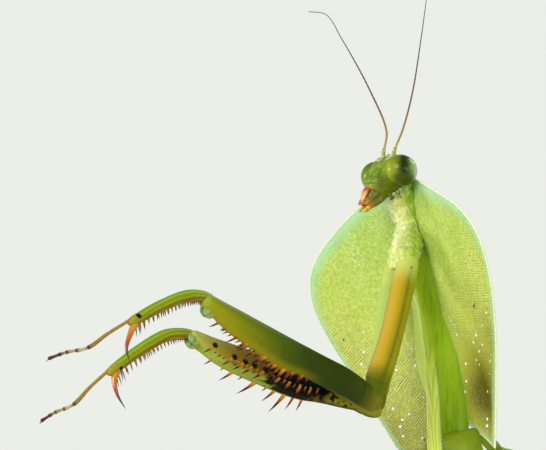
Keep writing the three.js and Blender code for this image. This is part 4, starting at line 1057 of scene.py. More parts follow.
def makeMouth():  # labrum, palps and lower mouthparts, the paired ones once for each side
    for name, slot, node, finish in (("labrum", "labrum_red", "labrum", labrumLook),
                                     ("lowerLip", "mouth_orange", "lower_lip", mouthLook)):
        sculpture = Sculpture(fromHead)
        addMouthPart(sculpture, name)
        if name == "lowerLip":
            for sign in (1, -1):
                addMouthPart(sculpture, "lipPalp", sign)
        sculpture.finish(name + "Plate", [finish], slot, node)
    for part in ("mandible", "palp"):
        for name, sign in bothSides:
            sculpture = Sculpture(fromHead)
            addMouthPart(sculpture, part, sign)
            if part == "palp":
                addMouthPart(sculpture, "maxilla", sign)
            sculpture.finish(part + name, [mouthLook], "mouth_orange", part + "_" + name.lower())


makeMouth()

# Antennae

antennae = {  # to the left, to the back and towards the crown of the head
    "Left": [(0.75, -0.6, 1.7), (0.95, -1.05, 2.3), (1.6, -1.75, 4.4), (2.0, -3.0, 7.7),
             (2.5, -5.25, 12.2), (3.3, -7.7, 16.4)],
    "Right": [(-0.7, -0.7, 1.7), (-0.8, -1.15, 2.3), (-0.7, -2.0, 4.1), (-1.3, -5.3, 6.5),
              (-2.4, -9.8, 9.1), (-3.1, -12.2, 10.3), (-4.0, -13.5, 9.8)],
}
thread = {"segment": 0.42, "root": 0.125, "tip": 0.036, "scape": 0.165, "pedicel": 0.13, "knob": 0.055}


def antennaPaint(wire, place):  # yellow-green at the root to dark brown, darker still at each joint
    along, ring = wire.mark("along"), wire.mark("ring")
    colour = along.ramp((0.0, "#98a03a"), (0.06, "#a8a040"), (0.12, "#9a8a34"), (0.22, "#8a6a2c"),
                        (0.36, "#6f4228"), (0.6, "#4c2c1c"), (1.0, "#2c1a12"))
    colour = layered(colour, (wire.mark("cream"), "#f4f3dc"), (ring * 0.5, "#2a170c"))
    return {"Base Color": colour, "Roughness": 0.3 + 0.1 * place.noise(0.3)}


antennaLook = material("antenna thread", antennaPaint, Specular_IOR_Level=0.3)


def evenPath(points):  # the curve through points, by share of its length
    fine = np.linspace(0, 1, 600)
    spots = bent(points, fine)
    length = np.concatenate([[0], np.cumsum(np.linalg.norm(np.diff(spots, axis=0), axis=1))])
    return (lambda t: bent(points, np.interp(t, length / length[-1], fine))), length[-1]


def makeAntenna(name):
    # A stout scape, a small pedicel, then a thread that thins evenly and swells at each joint.
    path, length = evenPath(np.array(antennae[name], float))

    def between(t):  # 0 at each joint, 1 halfway to the next
        return np.abs(np.sin(np.pi * length / thread["segment"] * t))

    def size(t):
        reach = t * length
        radius = mix(thread["root"], thread["tip"], np.clip(t * 1.15, 0, 1) ** 0.8)
        radius = radius * (0.84 + 0.16 * between(t))
        pedicel = thread["pedicel"] * (1 - 0.2 * hump(reach, 1.18, 0.05))
        radius = mix(radius, pedicel, rise(reach, 1.42, 1.34))
        radius = mix(radius, thread["scape"] + 0.02 * hump(reach, 0.75, 0.3), rise(reach, 1.16, 1.08))
        return radius, radius

    sculpture = Sculpture(fromHead)
    limb(sculpture, path, vec(1, 0, 0), size, 620, 14, blunt=(0.004, 0.01))
    t = sculpture.marks["along"]
    ring = (1 - between(t)) ** 3 * rise(t * length, 1.5, 2.2)
    ring = ring + hump(t * length, 1.12, 0.05) + hump(t * length, 1.4, 0.04)
    sculpture.marks["ring"] = np.clip(ring, 0, 1)
    for reach, many in ((0.45, 5), (0.98, 5), (1.36, 4)):  # pale knobs round the scape's two ends
        spot = path(np.array([reach / length]))[0]
        way = unit(path(np.array([reach / length + 0.01]))[0] - spot)
        a = unit(np.cross(way, vec(0.3, 0.5, 0.1)))
        turn = np.linspace(0, 2 * np.pi, many, endpoint=False)[:, None] + reach
        out = thread["scape"] if reach < 1.2 else thread["pedicel"]
        ring = spot + (a * np.cos(turn) + np.cross(way, a) * np.sin(turn)) * out
        beads(sculpture, ring, thread["knob"], 0, 6, 9, cream=1.0, along=0.05)
    sculpture.finish("antennaThread" + name, [antennaLook], "antenna", "antenna_" + name.lower())


for antennaName, _ in bothSides:
    makeAntenna(antennaName)

# Raptorial legs

grasping = {  # left, rearward and towards the belly: shoulder, elbow, knee, wrist, foot joint, toe
    "Left": [(1.6, 8.0, 3.75), (2.4, 22.6, 10.85), (1.25, 13.7, 29.25), (0.76, 17.1, 38.1),
             (0.46, 19.4, 43.3), (0.16, 20.7, 48.1)],
    "Right": [(-1.35, 7.9, 2.2), (0, 22.4, 8.25), (-4.23, 15.55, 27.1), (-5.6, 19.95, 35.4),
              (-6.3, 22.6, 39.7), (-6.9, 24.3, 43.5)],
}
graspRoll = {"Left": 28, "Right": 15}  # the femora turn their undersides inwards
femurRows = {  # share of the length, half thickness, half depth, sag of the middle line
    "Left": [[0, 0.66, 1.1, 0], [0.13, 0.8, 1.28, 0.05], [0.25, 0.86, 1.32, 0.2], [0.35, 0.9, 1.42, 0.4],
             [0.46, 0.92, 1.62, 0.72], [0.57, 0.9, 1.5, 0.7], [0.68, 0.88, 1.38, 0.68],
             [0.8, 0.82, 1.22, 0.62], [0.92, 0.75, 0.9, 0.42], [1, 0.7, 0.74, 0.3]],
    "Right": [[0, 0.66, 1.1, 0.05], [0.12, 0.8, 1.36, 0.16], [0.2, 0.86, 1.48, 0.3],
              [0.28, 0.9, 1.6, 0.52], [0.37, 0.92, 1.8, 0.8], [0.46, 0.92, 1.82, 0.9],
              [0.62, 0.9, 1.68, 0.92], [0.73, 0.86, 1.56, 0.88], [0.82, 0.8, 1.38, 0.76],
              [0.92, 0.74, 0.92, 0.38], [1, 0.68, 0.68, 0.15]],
}
femurSpines = {  # place along and length of each; place on the section: inner 1 to outer -1, below 1
    "inner": {"spots": [(0.85, 1.15), (0.81, 0.45), (0.785, 0.6), (0.76, 0.5), (0.73, 1.35), (0.705, 0.6),
                        (0.68, 0.8), (0.655, 1.35), (0.63, 0.6), (0.605, 1.35), (0.58, 0.7),
                        (0.555, 1.45), (0.53, 0.7), (0.5, 1.5), (0.475, 0.8), (0.45, 1.6), (0.42, 0.8),
                        (0.39, 1.9), (0.36, 0.8), (0.33, 1.5), (0.29, 1.0)],
              "inner": {"Left": 0.3, "Right": 0.86}, "below": {"Left": 0.9, "Right": 0.6}, "splay": 0.05},
    "outer": {"spots": [(0.81, 0.95), (0.74, 0.5), (0.68, 1.7), (0.62, 0.6), (0.56, 2.3), (0.52, 0.7),
                        (0.49, 1.8), (0.44, 2.5), (0.39, 1.5), (0.34, 1.4)],
              "inner": {"Left": -0.5, "Right": -0.5}, "below": {"Left": 0.8, "Right": 0.86}, "splay": -0.1},
}
tibiaCombs = ((-0.5, 21, 0.3), (0.5, 15, 0.42))  # place across, count, share of the length where it starts


def coxaPaint(wire, place):
    # Yellow bands across the rod with a green groove, pale at the shoulder, dark at the elbow, with dots.
    along, across = wire.mark("along"), wire.mark("across")
    cloud, fine = place.noise(1.6, 3), place.noise(0.3, 3)
    gold = (across * 0.5 + 0.5 + 0.1 * (cloud - 0.5)).ramp(
        (0.0, "#a98f42"), (0.16, "#c0a236"), (0.42, "#bd9d20"), (0.62, "#a38d14"),
        (0.76, "#7e7a0c"), (0.86, "#9a9416"), (1.0, "#a09a18"))
    groove = across.step(0.36, 0.44) * across.step(0.58, 0.5)
    gold = layered(gold, (groove * 0.5, "#66720a"), (wire.mark("green"), "#aec864"),
                   (along.step(0.27, 0.08), cloud.between("#a9bd44", "#d3d97c")),
                   (along.step(0.76, 0.9) * (across.step(1.0, 0.5) * 0.25 + 0.7), "#4c5c00"))
    dots = place.cells(0.5).step(0.12, 0.07) * abs(across).step(0.3, 0.95) * place.noise(0.9).step(0.4, 0.6)
    gold = (dots * 0.7).between(gold, "#4b3a10")
    height = fine * 0.02 + place.cells(0.3, "SMOOTH_F1") * -0.012
    return {"Base Color": gold, "Roughness": 0.34 + 0.18 * fine, "height": height}


def legPaint(wire, place):
    # Outside dark green to yellow at the knee, inside brown to cream, with a black patch and dots.
    along, across, under = wire.mark("along"), wire.mark("across"), wire.mark("under")
    cloud, fine = place.noise(1.8, 3), place.noise(0.25, 3)
    drift = along + 0.05 * (cloud - 0.5) - 0.06 * under
    green = drift.ramp((0.0, "#3a4402"), (0.12, "#2c3a00"), (0.35, "#2f4000"), (0.5, "#485800"),
                       (0.66, "#6e7600"), (0.82, "#888a04"), (1.0, "#92980a"))
    # partly painted light: the lower side is painted yellower and the upper side darker green
    green = layered(green, (under.step(-0.2, -0.75) * 0.6 * along.step(0.2, 0.45), "#a08c0c"),
                    (under.step(0.2, 0.75) * 0.45 * along.step(0.25, 0.6), "#466608"))
    inner = across.step(0.15, -0.6)
    inside = (along + 0.08 * (cloud - 0.5)).ramp(
        (0.0, "#4a3803"), (0.3, "#5a4206"), (0.47, "#6c4a0a"), (0.62, "#84620a"),
        (0.76, "#967a14"), (0.9, "#aaa236"), (1.0, "#bfc052"))
    inside = (under.step(0.45, 0.85) * 0.6).between(inside, "#a8a040")
    green = inner.between(green, inside)
    green = layered(green, (wire.mark("yellow") * 0.9, cloud.between("#8f8a14", "#a9a41e")),
                    (wire.mark("pale"), cloud.between("#8fae46", "#a9b944")),
                    (wire.mark("lobe"), fine.between("#6f8c50", "#a3b870")))
    blots = place.cells(0.55).step(0.3, 0.2) * place.noise(1.1).step(0.52, 0.6) * along.step(0.2, 0.1)
    green = layered(green, (blots * inner * 0.9, "#2a1c04"), (wire.mark("patch") * 0.98, "#070502"))
    spots = place.cells(0.5).step(0.12, 0.07) * place.noise(0.9).step(0.5, 0.6)
    green = (spots * 0.55).between(green, "#2e2c06")
    height = fine * 0.02 + place.cells(0.25, "SMOOTH_F1") * -0.01
    return {"Base Color": green, "Roughness": 0.32 + 0.18 * fine, "height": height}


def shankPaint(wire, place):
    # Green above to brown below with wavering streaks, ochre at the wrist.
    along, under = wire.mark("along"), wire.mark("under")
    cloud, fine = place.noise(1.2, 3), place.noise(0.22, 3)
    green = (under * 0.5 + 0.5 + 0.08 * (cloud - 0.5)).ramp(
        (0.0, "#6a4c06"), (0.2, "#7c6e08"), (0.42, "#86880a"), (0.66, "#84960a"),
        (0.88, "#74a00c"), (1.0, "#55a61a"))
    streak = (under * 9.5 + 6 * place.noise(2.5, 1)).wave()
    green = layered(green, (streak.step(0.2, 1.0) * 0.4, "#b2be44"),
                    (streak.step(-0.2, -1.0) * 0.25, "#5c7204"), (along.step(0.86, 1.0) * 0.7, "#a98c24"),
                    (along.step(0.1, 0.0) * 0.4, "#7fa03a"), (wire.mark("spot"), "#0a0704"))
    return {"Base Color": green, "Roughness": 0.3 + 0.18 * fine, "height": fine * 0.02}


def hornPaint(*stops):  # a paint that runs along each spine from its root to its tip
    def paint(wire, place):
        colour = (wire.mark("tip") + 0.16 * (place.noise(0.5) - 0.5)).ramp(*stops)
        return {"Base Color": colour, "Roughness": 0.2 + 0.1 * place.noise(0.2)}

    return paint


spinePaint = hornPaint((0.0, "#c4a63c"), (0.16, "#d49030"), (0.4, "#a8480c"), (0.54, "#4a1806"),
                       (0.66, "#0c0502"))
combPaint = hornPaint((0.0, "#7c5a14"), (0.2, "#b06a1c"), (0.4, "#6a2206"), (0.6, "#2a0a02"),
                      (0.8, "#0c0402"))


def clawPaint(wire, place):  # yellow through orange and red to black, by its length
    along = wire.mark("along")
    colour = along.ramp((0.0, "#a39026"), (0.2, "#c8901c"), (0.45, "#bc6408"),
                        (0.64, "#96240a"), (0.76, "#2c0804"), (0.84, "#080302"))
    return {"Base Color": colour, "Roughness": 0.14 + 0.1 * place.noise(0.4)}


def footPaint(wire, place):  # ochre to red brown by its length, clouded, black at the joints
    along, joint = wire.mark("along"), wire.mark("joint")
    colour = along.ramp((0.0, "#a8862a"), (0.5, "#96752a"), (0.56, "#c9b98a"), (0.78, "#b89a66"),
                        (0.84, "#6f3a1e"), (1.0, "#3a1a10"))
    colour = layered(colour, (place.noise(0.6, 3).step(0.45, 0.7) * 0.4, "#6f541c"),
                     (joint * 0.95, "#0f0b08"))
    return {"Base Color": colour, "Roughness": 0.4 + 0.15 * place.noise(0.2),
            "height": place.noise(0.12) * 0.02}


shell = {"Specular_IOR_Level": 0.1, "Coat_Weight": 0.02, "Coat_Roughness": 0.1}
facing = vec(0.67, 0.73, -0.13)  # the way round a coxa from its front edge to its rear edge
coxaLook = material("coxa shell", coxaPaint, **shell, Subsurface_Weight=0.08, Subsurface_Scale=0.0008)
legLook = material("femur shell", legPaint, **shell)
shankLook = material("tibia shell", shankPaint, **shell)
spineLook = material("spine horn", spinePaint, **(gloss | {"Coat_Weight": 0.1}))
combLook = material("comb horn", combPaint, Specular_IOR_Level=0.4, Coat_Weight=0.4, Coat_Roughness=0.06)
clawLook = material("claw horn", clawPaint, Specular_IOR_Level=0.5, Coat_Weight=0.8, Coat_Roughness=0.07)
footLook = material("foot shell", footPaint, Specular_IOR_Level=0.4)


def makeGraspingLeg(name, sign):
    # Coxa, femur with its spines, tibia with its combs and claw, and foot, as limbs between the joints.
    # below, outer and under are directions at right angles to the limb they belong to.
    shoulder, elbow, knee, wrist, footJoint, toe = (fore(*p) for p in grasping[name])
    along, shin = unit(knee - elbow), unit(wrist - knee)
    below = unit(shin - (shin @ along) * along)
    turned = unit(np.cross(along, below))
    outer = 1.0 if turned[0] * sign > 0 else -1.0  # whether "turned" points to the animal's outside
    outward = turned * outer
    label = "_" + name.lower()

    def turnMarks(sculpture):  # marks run from the inside to the outside on both legs
        sculpture.marks["across"] = sculpture.marks["across"] * outer

    # coxa, a bowed rod of three blunt edges set with small teeth
    coxaEnd = elbow + unit(elbow - shoulder) * 0.55 + along * 0.45
    root = shoulder + fore(0.15 * sign, 0, -0.5 if sign > 0 else -0.1)
    coxaLine = np.array([root, mix(root, elbow, 0.33) + fore(0.1 * sign, -0.1, -0.1),
                         mix(root, elbow, 0.67) + fore(0.15 * sign, -0.1, -0.05), coxaEnd])

    def coxaSize(t):  # widths that grow a little to the elbow, deepest at both ends
        end = 1 - 0.2 * rise(t, 0.78, 1.0)
        deep = 1.12 + 0.1 * np.cos(2 * np.pi * t)
        root = mix(0.8, 1.0, rise(t, 0.0, 0.3))
        return mix(1.0, 1.05, t) * end * root, deep * end * root

    sculpture = Sculpture(fromFore)
    limb(sculpture, coxaLine, turned, coxaSize, 150, 72, 0.9, (0.06, 0.055),
         swell=lambda t, a: 0.07 * np.cos(3 * a + 0.5) * rise(t, 0.08, 0.3) * rise(t, 1, 0.85)
         - 0.07 * hump(t, 0.885, 0.012))
    turnMarks(sculpture)
    marks = sculpture.marks
    down = unit(np.cross(unit(elbow - shoulder), turned))
    marks["across"] = marks["across"] * outer * (turned @ facing) + marks["under"] * (down @ facing)
    marks["green"] = (0.9 if sign < 0 else 0) * rise(marks["along"], 0.95, 0.8)
    t = np.linspace(0.12, 0.82, 15)
    for edge in (0.15, 2.25, 4.05):
        t = t + 0.004
        width, deep = coxaSize(t)
        spot = bent(coxaLine, t)
        way = unit(bent(coxaLine, t + 0.01) - spot)
        deepWay = np.cross(way, turned)
        root = spot + turned * (width * math.cos(edge))[:, None] * 1.02
        root = root + deepWay * (deep * math.sin(edge))[:, None] * 1.02
        beads(sculpture, root, np.where(np.arange(len(t)) % 3, 0.065, 0.11), 0, 6, 9, along=0.4,
              across=0.5, under=0.0)
    sculpture.finish("foreCoxa" + name, [coxaLook], "coxa_yellow", "fore_coxa" + label)

    # trochanter and femur in one skin, with the knee's two rounded side plates
    roll = math.radians(graspRoll[name])
    keel = below * math.cos(roll) - outward * math.sin(roll)
    flank = outward * math.cos(roll) + below * math.sin(roll)
    femurRoot = elbow + along * 2.3
    start, end = femurRoot - along * 0.8, knee + along * (0.1 if sign > 0 else -0.4)

    def femurPath(t):  # straight from start to end, sagging towards the keel
        t = np.asarray(t, float)
        return mix(start, end, t[..., None]) + keel * table(femurRows[name], t)[..., 2:3]

    def femurSize(t):
        thick, deep, _ = columns(table(femurRows[name], t))
        return thick, deep

    def femurSwell(t, a):  # a trough between the two rows of spines, two faint ribs and a groove outside
        bottom = np.clip(-np.sin(a), 0, 1)
        trough = -0.2 * hump(np.cos(a), 0, 0.42) * bottom * rise(t, 0.25, 0.4)
        ribs = 0.05 * np.cos(2 * a + 0.4) * rise(t, 0.1, 0.3)
        groove = -0.04 * hump(np.sin(a), 0.35, 0.12) * rise(t, 0.12, 0.3) * rise(t, 0.96, 0.85)
        return trough + ribs + groove

    sculpture = Sculpture(fromFore)
    limb(sculpture, femurPath, flank * outer, femurSize, 230, 84, 0.9, (0.03, 0.035), swell=femurSwell)
    turnMarks(sculpture)
    skin, marks = sculpture.points, sculpture.marks
    t, c, v = marks["along"], marks["across"], marks["under"]
    wander = 0.035 * grain(skin, 0.8, 71)
    inner = rise(c, -0.05, -0.45)
    if sign < 0:  # the black patch crosses the lower edge
        inner = np.maximum(inner, rise(c, 0.5, 0.25) * rise(v, -0.55, -0.7))
    reachEdge = rise(np.abs(t - 0.415 + 0.4 * wander), 0.13, 0.085)
    bottom = np.maximum(reachEdge, rise(v + 4 * wander, -0.95, -0.85))
    patch = rise(t + wander, 0.205, 0.225) * rise(t - wander, 0.58, 0.55)
    patch = patch * rise(v + 3 * wander, 0.7, 0.55) * bottom
    pale = 0.75 * rise(v, -0.6, -0.85) * rise(-c, -0.6, -0.2) * rise(t, 0.4, 0.52)
    pale = pale + 0.4 * rise(t, 0.93, 0.99)
    trochanterLine = np.array([elbow - along * (0.75 if sign > 0 else 0.15) - below * 0.1,
                               elbow + along * 0.8 + below * (0.12 if sign > 0 else 0.28),
                               femurRoot + along * 0.9])
    limb(sculpture, trochanterLine, flank * outer,
         lambda t: (mix(0.7, 0.7, t), mix(1.05, 1.14, t)), 70, 64, 1.0, (0.32, 0.1),
         swell=lambda t, a: -0.04 * hump(t, 0.66 + 0.05 * np.sin(a), 0.025))
    turnMarks(sculpture)
    root = sculpture.marks
    root["yellow"] = (rise(root["across"], 0.3, -0.3) * 0.95 if sign < 0
                      else 0.55 * rise(root["along"], 0.75, 0.2))
    root["along"] = root["along"] * 0.08
    marks["yellow"] = rise(c, 0.2, -0.4) * (rise(t, 0.26, 0.2) if sign < 0 else 0.2 * rise(t, 0.2, 0.12))
    for part in (1, -1):  # knee plates, below and behind the joint
        middle = knee + (keel * 0.95 - along * 1.15 if sign > 0 else keel * 0.55 - along * 0.9)
        middle = middle + flank * 0.34 * part
        lobeLine = np.array([middle - along * 0.95 - keel * 0.25, middle,
                             middle + along * 0.62 + keel * 0.1])
        limb(sculpture, lobeLine, flank * outer,
             lambda t: (0.26 + 0 * t, 0.42 + 0.24 * np.sin(np.pi * t**0.9)), 44, 40, 1.0, (0.4, 0.35),
             swell=lambda t, a: 0.06 * np.sin(3 * a + 14 * t))
        turnMarks(sculpture)
        plate = sculpture.marks
        plate.update(lobe=0.15 + 0.85 * rise(plate["along"], 0.25, 0.6), along=0.95)
    spot = 0 * t
    if sign < 0:  # two clusters of dark dots near the root
        for far in (3.5, 4.8):
            gap = distance(skin, fromFore(elbow + along * far + below * 1.35 - outward * 0.6))
            spot = np.maximum(spot, rise(gap, 0.7, 0.4) * rise(grain(skin, 0.34, 73), 0.55, 0.75))
    for row in femurSpines.values():
        place, reach = np.array(row["spots"]).T
        if sign < 0:
            place = (place + 0.045 * rise(place, 0.45, 0.62) * rise(place, 0.95, 0.8)
                     + 0.015 * rise(place, 0.5, 0.56) * rise(place, 0.72, 0.66))
        thick, deep = femurSize(place)
        root = (femurPath(place) - flank * (row["inner"][name] * thick * 0.94)[:, None]
                + keel * (deep * row["below"][name] * 0.94)[:, None])
        way = unit(below + along * mix(0.25, 0.95, rise(place, 0.3, 0.6))[:, None] - outward * row["splay"])
        base = root - way * 0.15
        spikes(sculpture, base, root + way * reach[:, None], 0.08 + 0.06 * reach, 0.1, along, 1, 9, 9)
        if row["splay"] > 0:  # black rings round the longer spines of the inner row
            for one, aim, size in zip(root, way, reach):
                gap = distance(skin, fromFore(one - aim * 0.42))
                spot = np.maximum(spot, rise(gap, 0.36, 0.27) * (size > 1.1))
    marks["patch"] = np.clip(np.maximum(inner * patch, spot * rise(c, 0.3, 0)), 0, 1)
    marks["pale"] = pale
    beads(sculpture, knee - below * 0.1 - along * 1.3 + flank * 0.4, 0.13, 0, lobe=0.8, along=0.9)
    sculpture.finish("foreFemur" + name, [legLook, spineLook], "leg_green",
                     "fore_trochanter" + label, "fore_femur" + label)

    # tibia with its two combs and the long curved end claw
    under = unit(below - (below @ shin) * shin)
    lift = under * (-0.25 if sign > 0 else -0.38)
    shankLine = np.array([knee - shin * 0.75 + under * 0.75, knee + shin * 0.15 + under * 0.12,
                          mix(knee, wrist, 0.2) - under * 0.2 + lift,
                          mix(knee, wrist, 0.55) - under * 0.3 + lift, wrist + shin * 0.15 + lift])
    turnedShin = unit(np.cross(shin, under))

    def shankSize(t):
        return mix(0.46, 0.4, t), through([[0.46], [0.54], [0.6], [0.62], [0.6], [0.5]], t)[..., 0]

    sculpture = Sculpture(fromFore)
    limb(sculpture, shankLine, turnedShin, shankSize, 150, 52, 0.95, (0.08, 0.06),
         swell=lambda t, a: 0.03 * np.cos(2 * a) + 0.02 * np.cos(6 * a)
         - 0.1 * hump(np.cos(a), 0, 0.4) * np.clip(-np.sin(a), 0, 1))
    spot, wide = (vec(0.36, -0.2, 0.13), 0.31) if sign > 0 else (vec(0.36, 0.12, -0.2), 0.22)
    gap = distance(sculpture.points, fromFore(bent(shankLine, np.array([0.925]))[0] + spot))
    sculpture.marks["spot"] = rise(gap, wide, wide * 0.75)
    for place, count, first in tibiaCombs:
        share = np.arange(count) / (count - 1)
        t = mix(first, 0.95, share)
        thick, deep = shankSize(t)
        root = bent(shankLine, t) + outward * (place * thick)[:, None] * 0.9 + under * (deep * 0.8)[:, None]
        reach = (mix(0.38, 0.62, share) + 0.5 * rise(share, 0.85, 1.0)) * (1 if sign > 0 else 1.2)
        way = unit(under * 0.9 + shin * 0.32 + outward * place * 0.15)
        spikes(sculpture, root, root + way * reach[:, None], 0.08 + 0.02 * share, 0.12, shin, 3, 8, 8)
    claw = wrist + lift
    reach = [(-0.9, 0.05), (0.2, 0.75), (1.5, 1.95), (1.8, 3.1)] if sign > 0 else [
        (-1.2, 0.05), (-0.2, 0.7), (0.4, 1.95), (0.5, 3.5)]
    clawLine = claw + np.array([shin * ahead + under * down for ahead, down in reach])
    limb(sculpture, clawLine, turnedShin,
         lambda t: (mix(0.34, 0.02, t**1.1), mix(0.4, 0.02, t**1.05)), 70, 24, 1.0, (0.1, 0.02), material=2)
    sculpture.finish("foreTibia" + name, [shankLook, spineLook, clawLook, combLook], "leg_green",
                     "fore_tibia" + label)

    # slender foot: one long joint, three short ones and a longer last one with two small claws
    up = -under * 0.3
    footLine = np.array([wrist + lift - shin * 0.5 + up, mix(wrist, footJoint, 0.5) + lift * 0.5 + up * 0.6,
                         footJoint, mix(footJoint, toe, 0.5) + up * 0.4,
                         toe - unit(toe - footJoint) * 0.25])
    makeFoot("foreTarsus" + name, "fore_tarsus" + label, footLine, under, 0.21, fromFore)


def makeFoot(name, node, line, below, radius, placing, flat=False):
    # Five joints in one limb, each widening to its end, and two claws that spread and bend down.
    borders = np.array([0.5, 0.64, 0.76, 0.86])
    starts = np.array([0.0, *borders])
    ends = np.array([*borders, 1.0])

    def size(t):
        # each joint widens towards its end, with a nick between joints
        k = np.searchsorted(borders, t, side="right")
        share = (t - starts[k]) / (ends[k] - starts[k])
        width = radius * (0.78 + 0.3 * rise(share, 0.3, 0.95)) * mix(1, 0.8, t)
        nick = sum(hump(t, b, 0.007) for b in borders)
        return width * (1 - 0.35 * nick), width * 0.95 * (1 - 0.35 * nick)

    sculpture = Sculpture(placing)
    limb(sculpture, line, np.cross(unit(line[-1] - line[0]), below), size, 200, 26, 1.0, (0.02, 0.02))
    t = sculpture.marks["along"]
    joint = sum(hump(t, b, 0.016) for b in borders) + hump(t, 0.01, 0.02)
    sculpture.marks["joint"] = np.clip(joint, 0, 1)
    toe, way = line[-1], unit(line[-1] - line[-2])
    across = unit(np.cross(way, below))
    root = toe + across * np.array([[0.06], [-0.06]]) - way * 0.1
    tip = root + way * 0.36 + across * np.array([[0.2], [-0.2]]) + below * 0.16
    spikes(sculpture, root, tip, 0.06, 0.3, -below, 0, 8, 8)
    sculpture.marks.update(along=1.0, joint=0.6)
    if flat:  # the sole lies on the floor
        for points, *_ in sculpture.parts:
            points[:, 2] = np.maximum(points[:, 2], -shift[2])
    sculpture.finish(name, [footLook], "foot_gold", node)


for legName, legSign in bothSides:
    makeGraspingLeg(legName, legSign)

# Middle and hind thorax with the abdomen, one skin

trunk = {  # first and last place along its axis, and the axis's pitch, straight length and turn
    "first": -1.2, "last": 36.1, "pitch": 36, "straight": 9, "turn": 30, "turnLength": 30,
    "folds": [4.5, *(9.3 + n * 27 / 7 for n in range(7))],
}
thoraxRows = [  # along the body, half width, height above its axis, depth below it
    [-1.5, 2.2, 1.3, 1.2], [0, 2.65, 1.7, 1.6], [2, 3.15, 2.1, 2.2], [5, 3.5, 1.95, 2.5],
    [9.5, 3.5, 1.9, 2.3]]
abdomenRows = [[9, 3.3, 1.7, 2.1], [14, 4.0, 1.8, 2.4], [21, 4.4, 1.8, 2.6], [28, 3.8, 1.6, 2.3],
               [33, 2.5, 1.2, 1.6], [36, 1.1, 0.6, 0.8]]
cercus = [(33.4, 1.2, 0.1), (35.4, 2.5, 0.15), (37.6, 3.2, 0.2)]  # along the body, sideways, above its axis


def body(along, left, above):
    # The body's axis runs straight down and back through the thorax, then levels out along an arc.
    radius = trunk["turnLength"] / math.radians(trunk["turn"])
    start = math.radians(trunk["pitch"])
    along, left, above = np.broadcast_arrays(*(np.asarray(n, float) for n in (along, left, above)))
    straight = np.minimum(along, trunk["straight"])
    pitch = start - np.clip(along - trunk["straight"], 0, trunk["turnLength"]) / radius
    rest = np.maximum(along - trunk["straight"] - trunk["turnLength"], 0)

    def way(angle):  # along the body where its pitch is angle
        return np.stack([0 * angle, np.cos(angle), -np.sin(angle)], -1)

    def up(angle):  # at right angles to it, upwards
        return np.stack([0 * angle, np.sin(angle), np.cos(angle)], -1)

    first = np.full(along.shape, start)
    axis = (prothorax["joint"] + way(first) * straight[..., None] + (up(first) - up(pitch)) * radius
            + way(pitch) * rest[..., None])
    return axis + up(pitch) * above[..., None] + left[..., None] * vec(1, 0, 0)


def trunkPaint(wire, place):  # clouded green, paler below and in the folds, olive at the hips, sparse dots
    above = wire.mark("above")
    cloud, fine = place.noise(2.6, 3), place.noise(0.4, 3)
    green = cloud.ramp((0.3, "#7f9a22"), (0.5, "#92ab30"), (0.72, "#a9bf46"))
    green = layered(green, (above.step(-0.2, -1.0) * 0.6, "#b9c864"),
                    (wire.mark("fold") * 0.6, "#c3cd84"))
    dots = place.cells(1.1).step(0.1, 0.06)
    green = layered(green, (dots * 0.5, "#4a4a10"),
                    (wire.mark("hip") * 0.85, cloud.between("#5a6a06", "#7c8c0c")))
    height = fine * 0.03 + place.cells(0.4, "SMOOTH_F1") * -0.02
    return {"Base Color": green, "Roughness": 0.4 + 0.15 * fine, "height": height}


trunkLook = material("body shell", trunkPaint, **shell, Subsurface_Weight=0.1, Subsurface_Scale=0.001)


def makeTrunk():
    # Ovals along the body's axis, pinched at the folds and plump between them, with a keel below.
    rows, around = 420, 96
    along = np.linspace(trunk["first"], trunk["last"], rows)
    size = mix(table(thoraxRows, along), table(abdomenRows, along), rise(along, 8.6, 9.6)[:, None])
    fold = sum(hump(along, b, 0.22) for b in trunk["folds"])
    back = sum(rise(along, b, b + 0.5) * rise(along, b + 3.9, b + 0.5) for b in trunk["folds"][1:])
    angle = (np.arange(around) + 0.5) / around * 2 * np.pi
    c, v = squared(np.cos(angle), 0.85), squared(np.sin(angle), 0.85)
    ends = dome((along - trunk["first"]) / 1.6, 0.01) * dome(trunk["last"] - along, 0.01)
    plump = ((1 - 0.07 * fold + 0.02 * back) * ends)[:, None]
    left = c[None] * size[:, :1] * plump
    left = left * (1 + 0.28 * rise(left, 1.2, 2.4) * rise(along, 5, 3)[:, None])
    above = np.where(v > 0, v[None] * size[:, 1:2], v[None] * size[:, 2:3]) * plump
    above = above + 0.8 * rise(left, 1.2, 2.6) * rise(v, -0.3, 0.3) * rise(along, 4.5, 2.5)[:, None]
    keel = 0.2 * hump(v, -1, 0.08) * rise(along, 9, 12)[:, None]
    pleat = -0.16 * hump(v, -0.25, 0.1) * rise(along, 9, 10)[:, None] * np.sign(c)
    points = body(along[:, None], left + pleat, above - keel)
    outward = unit(points - points.mean(1, keepdims=True))
    points = points + outward * (0.04 * grain(points, 2.2, 31))[..., None]
    sculpture = Sculpture(fromBody)
    ringSkin(sculpture, points, hip=rise(along, 6, 3)[:, None], above=v, fold=np.clip(fold, 0, 1)[:, None])
    sculpture.finish("trunk", [trunkLook], "body_green", "mesothorax", "metathorax", *(
        f"abdomen_{n}" for n in range(1, 7)), "abdomen_tip")
    for name, sign in bothSides:
        line = np.stack([body(along, sign * left, above) for along, left, above in cercus])
        sculpture = Sculpture(fromBody)
        limb(sculpture, line, vec(1, 0, 0),
             lambda t: (mix(0.4, 0.13, t) * (0.86 + 0.14 * np.abs(np.sin(np.pi * 11 * t))),) * 2, 120, 24)
        sculpture.marks["above"] = 0.0
        sculpture.finish("cercus" + name, [trunkLook], "body_green", "cercus_" + name.lower())


makeTrunk()

# Wings

